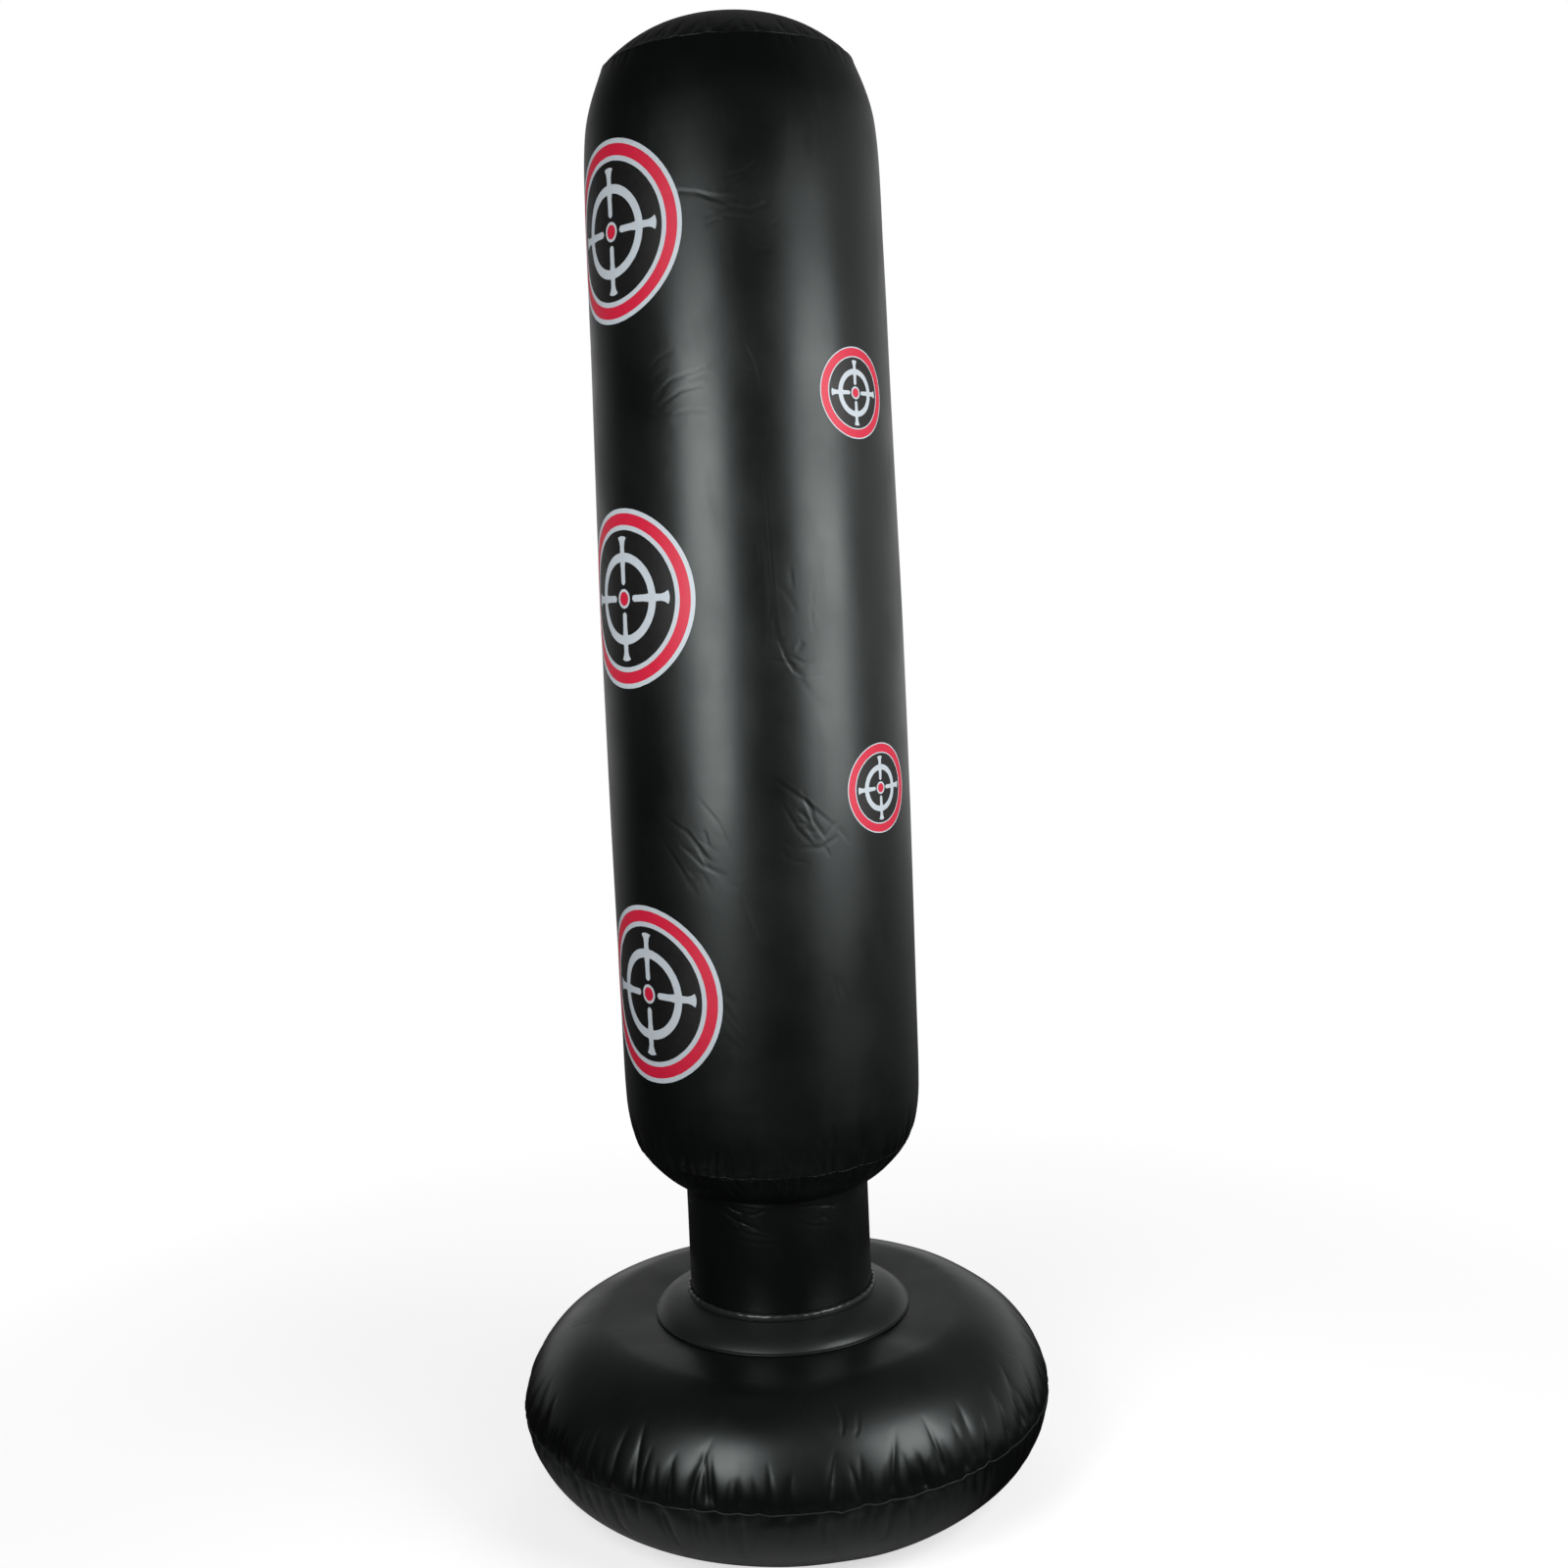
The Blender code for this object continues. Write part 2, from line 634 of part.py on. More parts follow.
def make_fill_cap(place):
    rise = FILL_HEAD_TOP + GAP
    section = [
        (0.0, rise + FILL_CAP_HEIGHT),
        (FILL_CAP_HEAD - 0.0006, rise + FILL_CAP_HEIGHT),
        (FILL_CAP_HEAD, rise + FILL_CAP_HEIGHT - 0.0006),
        (FILL_CAP_HEAD, rise),
        (FILL_CAP_SHANK, rise),
        (FILL_CAP_SHANK, rise - FILL_CAP_DEPTH),
        (0.0, rise - FILL_CAP_DEPTH),
    ]
    turned("fill_valve_cap", section, "valve_plastic", SMALL_SEGMENTS, place)


def main():
    for item in list(bpy.data.objects):
        bpy.data.objects.remove(item)
    make_base_panels()
    make_neck_bead()
    make_core_sleeve()
    make_water()
    neck = pivot("neck", (0, 0, SWAY_FORWARD_Z))
    make_neck(neck)
    column = pivot("column", (0, 0, SWAY_SIDEWAYS_Z - SWAY_FORWARD_Z), neck)
    wall = make_column(column)
    make_air_valve(column, wall)
    make_fill_valve()


main()
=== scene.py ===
"""Looks of the inflatable free-standing punching tower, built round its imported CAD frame.

Metres, +Z up, the front faces -Y. Angles round the axis are measured from the front, towards +X.
The film panels are grids of points: rows run from the top down along the outside, columns round it.
"""

import math

import bmesh
import bpy
import numpy as np
from mathutils import Euler, Matrix, Vector


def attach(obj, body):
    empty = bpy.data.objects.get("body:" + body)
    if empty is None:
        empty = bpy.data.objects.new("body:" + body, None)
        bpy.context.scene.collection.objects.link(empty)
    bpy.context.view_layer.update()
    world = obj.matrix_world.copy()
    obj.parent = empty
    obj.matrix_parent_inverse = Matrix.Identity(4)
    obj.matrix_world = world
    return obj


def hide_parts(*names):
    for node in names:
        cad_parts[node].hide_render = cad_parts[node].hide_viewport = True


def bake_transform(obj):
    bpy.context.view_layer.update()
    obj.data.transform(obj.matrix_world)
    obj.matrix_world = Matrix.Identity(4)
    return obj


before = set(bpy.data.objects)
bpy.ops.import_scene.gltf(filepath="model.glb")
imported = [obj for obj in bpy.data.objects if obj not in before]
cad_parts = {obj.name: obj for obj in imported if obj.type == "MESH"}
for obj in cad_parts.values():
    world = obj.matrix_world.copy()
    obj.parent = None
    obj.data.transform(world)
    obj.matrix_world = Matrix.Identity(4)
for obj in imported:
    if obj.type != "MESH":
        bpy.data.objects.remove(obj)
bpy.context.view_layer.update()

TAU = 2 * math.pi
MM = 1e-3

# Column. A pair is a radius and a height
COLUMN_RADIUS = 0.154
TOP_SEAM = (0.134, 1.468)
TOP_TUCK = 0.0036
SHOULDER_Z = 1.280
SHOULDER_POWER = 3.9
DOME_HEIGHT = 0.049
DOME_POWER = 2.8
BOTTOM_SEAM = (0.143, 0.355)
HEEL_Z = 0.411
HEEL_POWER = 2.3
UNDERSIDE_CONTROL = (0.119, 0.320)
LAP_ANGLE = math.radians(198)
LAP_WIDTH = 0.012
WALL_SPLITS = (1.05, 0.60)

# How far the wall swells from its plain line, and the heights between which that comes and goes
WALL_SWELLS = [(0.0034, 0.42, 0.72, 0.88, 1.24), (0.0015, 0.375, 0.44, 0.46, 0.68), (-0.0011, 1.20, 1.31, 1.33, 1.45)]

# Neck
NECK_RADIUS = 0.0962
NECK_TOP_Z = 0.315
NECK_FOOT_Z = 0.1935
NECK_SPLIT_Z = 0.255
FILM = 0.0008

# Base
BASE_RADIUS = 0.277
BASE_SEAM_Z = 0.0885
CREST = (0.187, 0.174)
CREST_POWER = 1.8
FOOT_RADIUS = 0.184
FOOT_POWER = 1.9
COLLAR_BORE = 0.0970
COLLAR_RADIUS = 0.135
COLLAR_EDGE_Z = 0.1743
COLLAR_DOME = 0.0034
COLLAR_SLOPE = (COLLAR_EDGE_Z - NECK_FOOT_Z) / (COLLAR_RADIUS - COLLAR_BORE)
VALLEY_RADIUS = 0.1385
VALLEY_DIP = 0.0012
SLEEVE_RADIUS = 0.128
WATER_LEVEL = 0.146
WATER_INSET = 0.014
MARGIN = 0.008

# Valves
AIR_VALVE = (0.0, 0.1535253, 0.700)
FILL_VALVE = (0.0, 0.187, 0.174)
SHARP = math.radians(48)

# A kind of target: its radius, its light and red rings from inner to outer edge, and the radii and half
# widths along an arm of its cross, all in shares of its radius
BIG = (
    0.0895,
    [(0.946, 1.0), (0.761, 0.816), (0.41, 0.51), (0.078, 0.109)],
    [(0.816, 0.946), (0.001, 0.078)],
    [0.15, 0.19, 0.34, 0.43, 0.52, 0.58, 0.63, 0.675],
    [0.037, 0.037, 0.038, 0.050, 0.040, 0.038, 0.050, 0.076],
)
SMALL = (
    0.045,
    [(0.975, 1.0), (0.770, 0.795), (0.40, 0.52), (0.10, 0.14)],
    [(0.795, 0.975), (0.002, 0.10)],
    [0.17, 0.21, 0.34, 0.43, 0.53, 0.58, 0.64, 0.69],
    [0.042, 0.042, 0.044, 0.058, 0.046, 0.044, 0.056, 0.082],
)
BLACK_RING = (0.001, 0.775)
PRINT_CELL = 0.0026
PRINT_LIFTS = {"black": 0.00012, "red": 0.00018, "light": 0.00022}

# Degrees round, height and kind of the targets on the front; the back has the same turned round
TARGETS = [(-52, 1.291, BIG), (-53, 0.931, BIG), (-50, 0.535, BIG), (46, 1.122, SMALL), (50, 0.732, SMALL)]


# Grids


def wrap(angle):
    """Angles brought into -pi to pi."""
    return (angle + math.pi) % TAU - math.pi


def smooth(low, high, value):
    """0 below low, 1 above high, and a smooth rise between."""
    share = np.clip((value - low) / (high - low), 0.0, 1.0)
    return share * share * (3 - 2 * share)


def spaced(start, end, count, ease=1.0):
    """Numbers from start to end, closer together near the start if ease is above 1."""
    return start + (end - start) * np.linspace(0.0, 1.0, count) ** ease


def around(count):
    """Even angles round the axis."""
    return np.linspace(0.0, TAU, count, endpoint=False)


def curve(start, control, end, t):
    """Points of a curve from start to end, drawn towards a control point."""
    return start * (1 - t) ** 2 + control * 2 * t * (1 - t) + end * t * t


def oval(centre, reach, power, angle):
    """Part of an oval, as radius and height. Power 2 is a circle, and more is squarer."""
    cos, sin = (part.clip(0) ** (2 / power) for part in (np.cos(angle), np.sin(angle)))
    return np.column_stack([centre[0] + reach[0] * cos, centre[1] + reach[1] * sin])


def arc_length(profile):
    """Distance along a profile from its first point."""
    steps = np.hypot(*np.diff(profile, axis=0).T)
    return np.concatenate([[0.0], np.cumsum(steps)])


def resample(profile, spacing):
    """Points along a profile at the given distances from its first point."""
    along = arc_length(profile)
    return np.column_stack([np.interp(spacing, along, profile[:, k]) for k in (0, 1)])


def unit(vectors):
    """Rows scaled to length 1."""
    return vectors / np.linalg.norm(vectors, axis=1, keepdims=True)


def profile_normals(profile):
    """Outward unit normals, in radius and height, of a profile that runs down the outside."""
    tangent = unit(np.gradient(profile, axis=0))
    return np.column_stack([-tangent[:, 1], tangent[:, 0]])


def turned(profile, theta, lift=0.0):
    """The profile swept round the axis, moved out along its normals by lift."""
    normals = profile_normals(profile)
    radius, height = (profile[:, k : k + 1] + normals[:, k : k + 1] * lift for k in (0, 1))
    height = np.broadcast_to(height, (len(profile), len(theta)))
    return np.stack([radius * np.sin(theta), -radius * np.cos(theta), height], axis=-1)


def patch(grid, closed=True, keep=None, loop=False):
    """Points and faces over a grid. closed joins its columns to a ring, loop its rows."""
    rows, columns = grid.shape[:2]
    index = np.arange(rows * columns).reshape(rows, columns)
    if loop:
        index = np.vstack([index, index[:1]])
    after = np.roll(index, -1, axis=1)
    faces = np.stack([index[:-1], index[1:], after[1:], after[:-1]], axis=-1)
    if not closed:
        faces = faces[:, :-1]
    if keep is not None:
        faces = faces[keep[:-1] & keep[1:]]
    used, faces = np.unique(faces.reshape(-1, 4), return_inverse=True)
    return grid.reshape(-1, 3)[used], faces.reshape(-1, 4)


def joined(patches):
    """The points and the faces of several patches, each as one list."""
    points, faces, start = [], [], 0
    for part_points, part_faces in patches:
        points.append(part_points)
        faces += (part_faces + start).tolist()
        start += len(part_points)
    return np.vstack(points), faces


def mesh_object(name, points, faces):
    mesh = bpy.data.meshes.new(name)
    mesh.from_pydata(np.asarray(points).tolist(), [], faces)
    mesh.validate()
    mesh.shade_smooth()
    made = bpy.data.objects.new(name, mesh)
    bpy.context.scene.collection.objects.link(made)
    return made


def dress(piece, material, slot, body=None, replaced=()):
    """Gives a piece its material and its body, and hides the CAD nodes it stands for. slot is not used."""
    piece.data.materials.clear()
    piece.data.materials.append(material)
    if body:
        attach(piece, body)
    if replaced:
        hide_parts(*replaced)
    return piece


def skin(name, patches, material, body, replaced=(), slot="pvc_film"):
    """A smooth piece of film made of patches."""
    return dress(mesh_object(name, *joined(patches)), material, slot, body, replaced)


# Creases


def shared_angles(rng, creases, spread):
    """The angles of the creases on a seam's other side, each a little off."""
    return [angle + rng.normal(0.0, spread) for angle, *_ in creases]


def seam_creases(rng, angles, reach, depth, width):
    """Creases that leave a seam at the given angles, or at so many irregular steps if that is a number.

    reach, depth and width are (low, high). A crease is its angle, reach, depth, width, lean, bow, how soon
    it is deepest, and how far it kinks the seam."""
    if isinstance(angles, int):
        steps = rng.uniform(0.55, 1.45, angles)
        angles = np.cumsum(steps) / steps.sum() * TAU
    creases = []
    for angle, share in zip(angles, rng.uniform(0.0, 1.0, len(angles)) ** 0.9):
        long, deep = (low + (high - low) * share for low, high in (reach, depth))
        shape = long * rng.uniform(0.8, 1.15), deep, rng.uniform(*width), rng.normal(0.0, 0.09)
        creases.append((angle, *shape, rng.normal(0.0, 0.10), rng.uniform(0.22, 0.42), rng.normal(0.0, 1.0)))
    return creases


DEEPEST = 0.0085
VALLEY_ROUND = 0.6e-3
SEAM_SHARE = 0.12


def creased(theta, radius, distance, creases):
    """Depth, on rows of radius by theta, of creases that fade with distance from their seam.

    A crease is a sharp valley: shallow at the seam, where the weld holds the film straight, deepest a
    little way off, and pointed at its far end."""
    field = np.zeros((len(radius), len(theta)))
    for angle, reach, depth, width, lean, bow, rise, _ in creases:
        near = distance < reach
        share = (distance[near] / reach)[:, None]
        middle = (lean + bow * share) * distance[near][:, None]
        across = wrap(theta[None, :] - angle) * radius[near][:, None] - middle
        valley = np.exp(-(np.sqrt(across**2 + VALLEY_ROUND**2) - VALLEY_ROUND) / (width * (1.0 - 0.55 * share)))
        deep = (SEAM_SHARE + (1 - SEAM_SHARE) * smooth(0.0, rise, share)) * (1.0 - share) ** 1.25
        field[near] += depth * deep * valley
    return DEEPEST * np.tanh(field / DEEPEST)


def level(depth):
    """A depth field less each row's mean, so that a panel keeps its size."""
    return depth - depth.mean(axis=1, keepdims=True)


def seam_line(theta, radius, creases, drop, pull):
    """How far the seam itself sinks in and wanders up or down at its creases."""
    inward, up = np.zeros(len(theta)), np.zeros(len(theta))
    for angle, _, depth, *_, kink in creases:
        shape = np.exp(-((np.abs(wrap(theta - angle)) * radius / 0.0045) ** 1.5))
        inward += pull * depth * shape
        up += drop * kink * shape
    return inward - inward.mean(), up


def move(grid, theta, inward, up):
    """Moves points towards the axis and up, in place."""
    grid[..., 0] -= inward * np.sin(theta)
    grid[..., 1] += inward * np.cos(theta)
    grid[..., 2] += up


def join_edge(grid, edge, distance, reach):
    """Bends a grid near an edge so that its edge row lies on the given ring."""
    nearest = int(np.argmin(distance))
    weight = (1.0 - smooth(0.0, reach, distance))[:, None, None]
    return grid + weight * (edge - grid[nearest])


def fold(across, height, points, depth, width, side):
    """Depth of one fold along a line of (across, height) points, which fades to its ends.

    side pushes one flank out and the other in, which turns the groove into a small step."""
    points = np.asarray(points, float)
    step_u, step_v = np.diff(points, axis=0).T
    length = np.hypot(step_u, step_v)
    u, v = across[..., None] - points[:-1, 0], height[..., None] - points[:-1, 1]
    t = np.clip((u * step_u + v * step_v) / length**2, 0.0, 1.0)
    gap = np.hypot(u - t * step_u, v - t * step_v)
    fields = gap, np.sign(u * step_v - v * step_u) * gap, (arc_length(points)[:-1] + t * length) / length.sum()
    closest = gap.argmin(axis=-1)[..., None]
    nearest, off, share = (np.take_along_axis(field, closest, -1)[..., 0] for field in fields)
    taper = np.sqrt(np.clip(share * (1 - share) * 4, 0.0, 1.0))
    ridge = np.exp(-np.sqrt(nearest**2 + 6e-8) / (0.9 * width))
    off = off / (1.6 * width)
    return depth * taper * (ridge + side * off * np.exp(-(off**2)))


def press(depth, theta, height, radius, angle, box, lines):
    """Adds folds round an angle to a depth field. box is how wide they reach, and from low to high."""
    across = wrap(theta - angle)[None, :] * radius
    columns = np.abs(across[0]) < box[0]
    rows = (height[:, 0] > box[1]) & (height[:, 0] < box[2])
    for line in lines:
        depth[np.ix_(rows, columns)] += fold(across[:, columns], height[rows], *line)


def add_folds(depth, theta, height, radius, groups, rng):
    """Adds groups of short bent folds. The tables below say what a group holds."""
    for degrees, *sizes in groups:
        middle, wide, tall, tilt, length, count, deep = np.array(sizes) * (MM, MM, MM, 1, MM, 1, MM)
        lines = []
        for _ in range(int(count)):
            points = [(0.0, middle) + rng.uniform(-1.0, 1.0, 2) * (wide, tall)]
            heading = math.radians(tilt + rng.normal(0.0, 15.0))
            reach = length * rng.uniform(0.35, 1.0)
            for _ in range(3):
                points.append(points[-1] + reach / 3 * np.array([math.cos(heading), math.sin(heading)]))
                heading += rng.normal(0.0, 0.20)
            shape = deep * rng.uniform(0.35, 1.15), rng.uniform(0.0011, 0.0018), rng.uniform(-1.5, 1.5)
            lines.append((points, *shape))
        reach = length + tall + 0.01
        box = length + wide + 0.01, middle - reach, middle + reach
        press(depth, theta, height, radius, math.radians(degrees), box, lines)
    return depth


def add_lines(depth, theta, height, radius, lines):
    """Adds single folds. The tables below say what a line holds."""
    for deep, width, side, *path in lines:
        degrees, rise = path[::2], np.array(path[1::2]) * MM
        middle, spare = np.radians(np.mean(degrees)), 4 * width * MM
        bent = (np.radians(degrees) - middle) * radius
        box = np.abs(bent).max() + spare, rise.min() - spare, rise.max() + spare
        line = np.column_stack([bent, rise]), deep * MM, width * MM, side
        press(depth, theta, height, radius, middle, box, [line])
    return depth


def soft_dents(rng, theta, height, radius, count, depth, size):
    """Wide, shallow unevenness of the film, as random smooth dents."""
    field = np.zeros((len(height), len(theta)))
    for _ in range(count):
        angle = rng.uniform(0.0, TAU)
        middle = rng.uniform(height.min(), height.max())
        wide, tall = rng.uniform(*size, 2)
        u = wrap(theta[None, :] - angle) * radius / wide
        v = (height - middle) / (tall * 1.8)
        field += rng.normal(0.0, depth) * np.exp(-u * u - v * v)
    return field


# Column skins

# Stretches of the wall that need close rows, from low to high, and the step between rows there
WALL_FINE = [(1.42, 1.468, 0.0018), (1.255, 1.345, 0.0017), (1.105, 1.170, 0.0017), (0.90, 1.03, 0.0036)]
WALL_FINE += [(0.845, 0.89, 0.0016), (0.66, 0.76, 0.0018), (0.49, 0.64, 0.0034), (0.355, 0.43, 0.0015)]
WALL_COARSE = 0.0068
FINE_EDGE = 0.02

# Single folds: depth, width (mm), side, then the degrees and the height (mm) of each point of the line
WALL_LINES = [
    (0.25, 1.6, 1.0, -31, 1316, -18, 1317, -6, 1309, 3, 1306),
    (0.21, 1.4, -1.2, -15, 1316, -8, 1306, -1, 1300),
    (0.27, 1.4, 0.8, -3, 1326, 4, 1331, 9, 1340),
    (0.21, 1.3, -1.0, -1, 1318, 5, 1325, 8, 1331),
    (0.29, 1.4, 1.0, -2, 1299, 6, 1295, 12, 1301, 9, 1311),
    (0.21, 1.4, 0.8, -4, 1290, 8, 1286),
    (0.21, 1.3, 1.0, 4, 1266, 8, 1258, 13, 1257),
    (0.29, 1.5, 0.8, -34, 1124, -26, 1140, -17, 1146),
    (0.25, 1.4, -1.0, -31, 1114, -22, 1127, -13, 1131),
    (0.23, 1.4, 1.0, -27, 1106, -19, 1110, -12, 1108),
    (0.17, 1.4, 0.8, -12, 1149, -4, 1161),
    (0.19, 1.4, 0.8, -37, 1150, -30, 1163, -24, 1168),
    (0.23, 1.4, 1.0, 2, 1168, 5, 1150, 7, 1118),
    (0.17, 1.3, 1.0, 1, 1144, 9, 1139),
    (0.33, 2.3, 1.2, 6, 1050, 7, 970, 8, 910, 10, 872),
    (0.40, 1.6, -1.0, 9, 886, 11, 868, 14, 854, 18, 847),
    (0.29, 1.4, 1.0, 3, 869, 9, 866, 15, 860),
    (0.23, 1.4, 0.8, 12, 872, 18, 862, 22, 864),
    (0.17, 1.8, 1.0, 15, 852, 24, 822, 33, 800),
    (0.29, 1.7, 1.0, 3, 757, 13, 736, 27, 702),
    (0.35, 1.5, -1.0, 15, 738, 19, 706, 23, 690, 28, 704),
    (0.27, 1.5, 1.0, 8, 728, 13, 702, 19, 684),
    (0.25, 1.4, 0.8, 13, 684, 21, 682, 29, 692),
    (0.17, 1.3, 0.8, 10, 672, 17, 668),
    (0.31, 1.6, 1.0, -36, 716, -27, 702, -18, 672),
    (0.27, 1.5, -1.0, -31, 690, -22, 668, -12, 656),
    (0.25, 1.6, 1.0, -38, 694, -30, 664, -24, 640),
    (0.19, 1.5, 0.8, -22, 735, -15, 712, -10, 680),
    (0.19, 1.6, 0.8, -26, 560, -16, 530, -9, 505),
    (0.17, 1.6, -0.8, -22, 535, -12, 500, -4, 480),
    (0.15, 1.6, 0.8, -8, 640, -3, 600, 2, 575),
]

# Groups of folds: degrees, height, half width and half height of the group (mm), tilt of its folds in
# degrees, their length (mm), count and depth (mm)
WALL_FOLDS = [
    (2, 1300, 34, 22, 30, 26, 10, 0.22),
    (-24, 1120, 30, 34, 28, 28, 12, 0.20),
    (6, 950, 10, 60, -86, 50, 4, 0.22),
    (12, 866, 24, 20, 20, 24, 9, 0.24),
    (17, 710, 30, 30, -40, 30, 10, 0.24),
    (-24, 680, 30, 34, -46, 30, 11, 0.22),
    (-14, 520, 34, 34, -45, 30, 12, 0.18),
    (22, 930, 20, 30, -75, 40, 4, 0.16),
    (-8, 1395, 30, 16, -80, 30, 4, 0.14),
    (30, 560, 20, 30, -60, 34, 4, 0.16),
    (96, 1200, 30, 20, -20, 50, 8, 0.32),
    (160, 1040, 30, 24, -30, 55, 9, 0.34),
    (152, 570, 24, 20, 35, 44, 8, 0.32),
    (214, 885, 30, 24, -25, 50, 8, 0.34),
    (182, 762, 16, 10, 65, 30, 6, 0.34),
    (172, 655, 20, 10, -60, 34, 6, 0.34),
    (256, 1220, 30, 20, -25, 50, 8, 0.32),
    (262, 590, 26, 20, -35, 50, 8, 0.32),
    (110, 830, 30, 30, 70, 50, 7, 0.28),
    (236, 1020, 30, 30, -70, 50, 7, 0.28),
]


def wall_profile():
    """Radius and height down the wall: a shoulder, a very slight barrel and a heel."""
    high, low = np.linspace(1.0, 0.0, 60), np.linspace(0.0, 1.0, 40)
    ends = (TOP_SEAM, SHOULDER_Z, SHOULDER_POWER, high), (BOTTOM_SEAM, HEEL_Z, HEEL_POWER, low)
    shoulder, heel = (
        np.column_stack([COLUMN_RADIUS - (COLUMN_RADIUS - seam[0]) * share**power, z + (seam[1] - z) * share])
        for seam, z, power, share in ends
    )
    straight = np.column_stack([np.full(58, COLUMN_RADIUS), np.linspace(SHOULDER_Z, HEEL_Z, 60)[1:-1]])
    full = np.vstack([shoulder, straight, heel])
    height = full[:, 1]
    for amount, start, whole, ebb, end in WALL_SWELLS:
        full[:, 0] += amount * smooth(start, whole, height) * (1.0 - smooth(ebb, end, height))
    full[:, 0] -= TOP_TUCK * smooth(1.405, TOP_SEAM[1], height)
    return full


def wall_rows():
    """Distances down the wall, close together where it is creased."""
    total = arc_length(wall_profile())[-1]
    rows = [0.0]
    while rows[-1] < total:
        step = WALL_COARSE
        height = TOP_SEAM[1] - rows[-1]
        for low, high, size in WALL_FINE:
            outside = max(low - height, height - high, 0.0) / FINE_EDGE
            if outside < 1.0:
                step = min(step, size + (WALL_COARSE - size) * outside)
        rows.append(rows[-1] + step)
    return np.array(rows) * total / rows[-1]


class Wall:
    """The column's wall: its grid of points, its profile and angles, and the creases of its seams."""

    def __init__(self):
        rng = np.random.default_rng(11)
        even = around(600)
        theta = self.theta = even - 0.30 * np.sin(even)  # somewhat closer together over the front
        down = wall_rows()
        self.profile = resample(wall_profile(), down)
        self.down = arc_length(self.profile)
        radius, height = self.profile[:, 0], self.profile[:, 1:]
        self.heel = seam_creases(rng, 64, (0.022, 0.058), (0.0020, 0.0052), (0.0032, 0.0052))
        self.top = seam_creases(rng, 60, (0.010, 0.030), (0.0003, 0.0010), (0.0030, 0.0050))
        depth = level(creased(theta, radius, down[-1] - down, self.heel) + creased(theta, radius, down, self.top))
        depth = add_lines(depth, theta, height, COLUMN_RADIUS, WALL_LINES)
        depth = add_folds(depth, theta, height, COLUMN_RADIUS, WALL_FOLDS, rng)
        depth += soft_dents(rng, theta, height, COLUMN_RADIUS, 70, 0.00035, (0.03, 0.08))
        aside = wrap(theta - math.pi)[None, :]
        self.from_valve = np.hypot(aside * COLUMN_RADIUS, height - AIR_VALVE[2])
        depth *= smooth(0.016, 0.030, self.from_valve)
        flat = 1.0 - smooth(0.0165, 0.040, self.from_valve)
        depth += flat * (radius[:, None] - AIR_VALVE[1] / np.maximum(np.cos(aside), 0.5))
        self.grid = turned(self.profile, theta, -depth)
        for row, creases, drop in ((0, self.top, 0.0005), (-1, self.heel, 0.0009)):
            inward, up = seam_line(theta, radius[row], creases, drop, 0.25)
            weight = (1.0 - smooth(0.0, 0.012, np.abs(down - down[row])))[:, None]
            move(self.grid, theta, weight * inward, weight * up)

    def at(self, angle, height):
        """Points of the wall at any angles and heights, and the unit normals there."""
        angle = angle % TAU
        along = np.interp(height, self.profile[::-1, 1], self.down[::-1])
        column = np.searchsorted(self.theta, angle, side="right") - 1
        row = np.clip(np.searchsorted(self.down, along, side="right") - 1, 0, len(self.down) - 2)
        ends = np.append(self.theta, TAU)
        s = ((angle - ends[column]) / np.diff(ends)[column])[:, None]
        t = ((along - self.down[row]) / np.diff(self.down)[row])[:, None]
        after = (column + 1) % len(self.theta)
        a, b, c, d = (self.grid[place] for place in ((row, column), (row, after), (row + 1, column), (row + 1, after)))
        point = (a * (1 - s) + b * s) * (1 - t) + (c * (1 - s) + d * s) * t
        return point, unit(np.cross((b - a) * (1 - t) + (d - c) * t, (a - c) * (1 - s) + (b - d) * s))


def end_panel(wall, profile, distance, rim, creases, seed, sizes, calm):
    """A panel at an end of the wall, creased where the wall is, with its edge on the wall's rim."""
    rng = np.random.default_rng(seed)
    found = seam_creases(rng, shared_angles(rng, creases, 0.01), *sizes)
    depth = level(creased(wall.theta, profile[:, 0], distance, found)) * calm[:, None]
    return join_edge(turned(profile, wall.theta, -depth), rim, distance, 0.006)


def dome_grid(wall):
    """The round top panel, from a small ring at its centre out to the wall's top edge."""
    share = np.concatenate([spaced(0.004, 0.70, 14), spaced(1.0, 0.715, 32, 1.25)[::-1]])
    profile = np.column_stack([(TOP_SEAM[0] - TOP_TUCK) * share, TOP_SEAM[1] + DOME_HEIGHT * (1 - share**DOME_POWER)])
    distance = arc_length(profile)[-1] - arc_length(profile)
    sizes = (0.018, 0.050), (0.0012, 0.0032), (0.0028, 0.0044)
    calm = (np.arange(len(profile)) >= 6).astype(float)
    return end_panel(wall, profile, distance, wall.grid[0], wall.top, 23, sizes, calm)


def underside_grid(wall):
    """The column's bottom panel, from the wall's bottom edge in to the neck."""
    ends = (np.array(p) for p in (BOTTOM_SEAM, UNDERSIDE_CONTROL, (NECK_RADIUS + 0.0012, NECK_TOP_Z)))
    bent = curve(*ends, np.linspace(0.0, 1.0, 200)[:, None])
    total = arc_length(bent)[-1]
    profile = resample(bent, spaced(0.0, total, 46, 1.15))
    distance = arc_length(profile)
    sizes = (0.022, 0.046), (0.0018, 0.0042), (0.0026, 0.0042)
    calm = 1.0 - smooth(0.6 * total, total, distance)
    return end_panel(wall, profile, distance, wall.grid[-1], wall.heel, 37, sizes, calm)


def hem(edge, inward, drop):
    """The weld margin turned inside, as a strip from a seam edge."""
    row = edge - unit(edge * (1, 1, 0)) * inward
    row[:, 2] += drop
    return patch(np.stack([edge, row]))


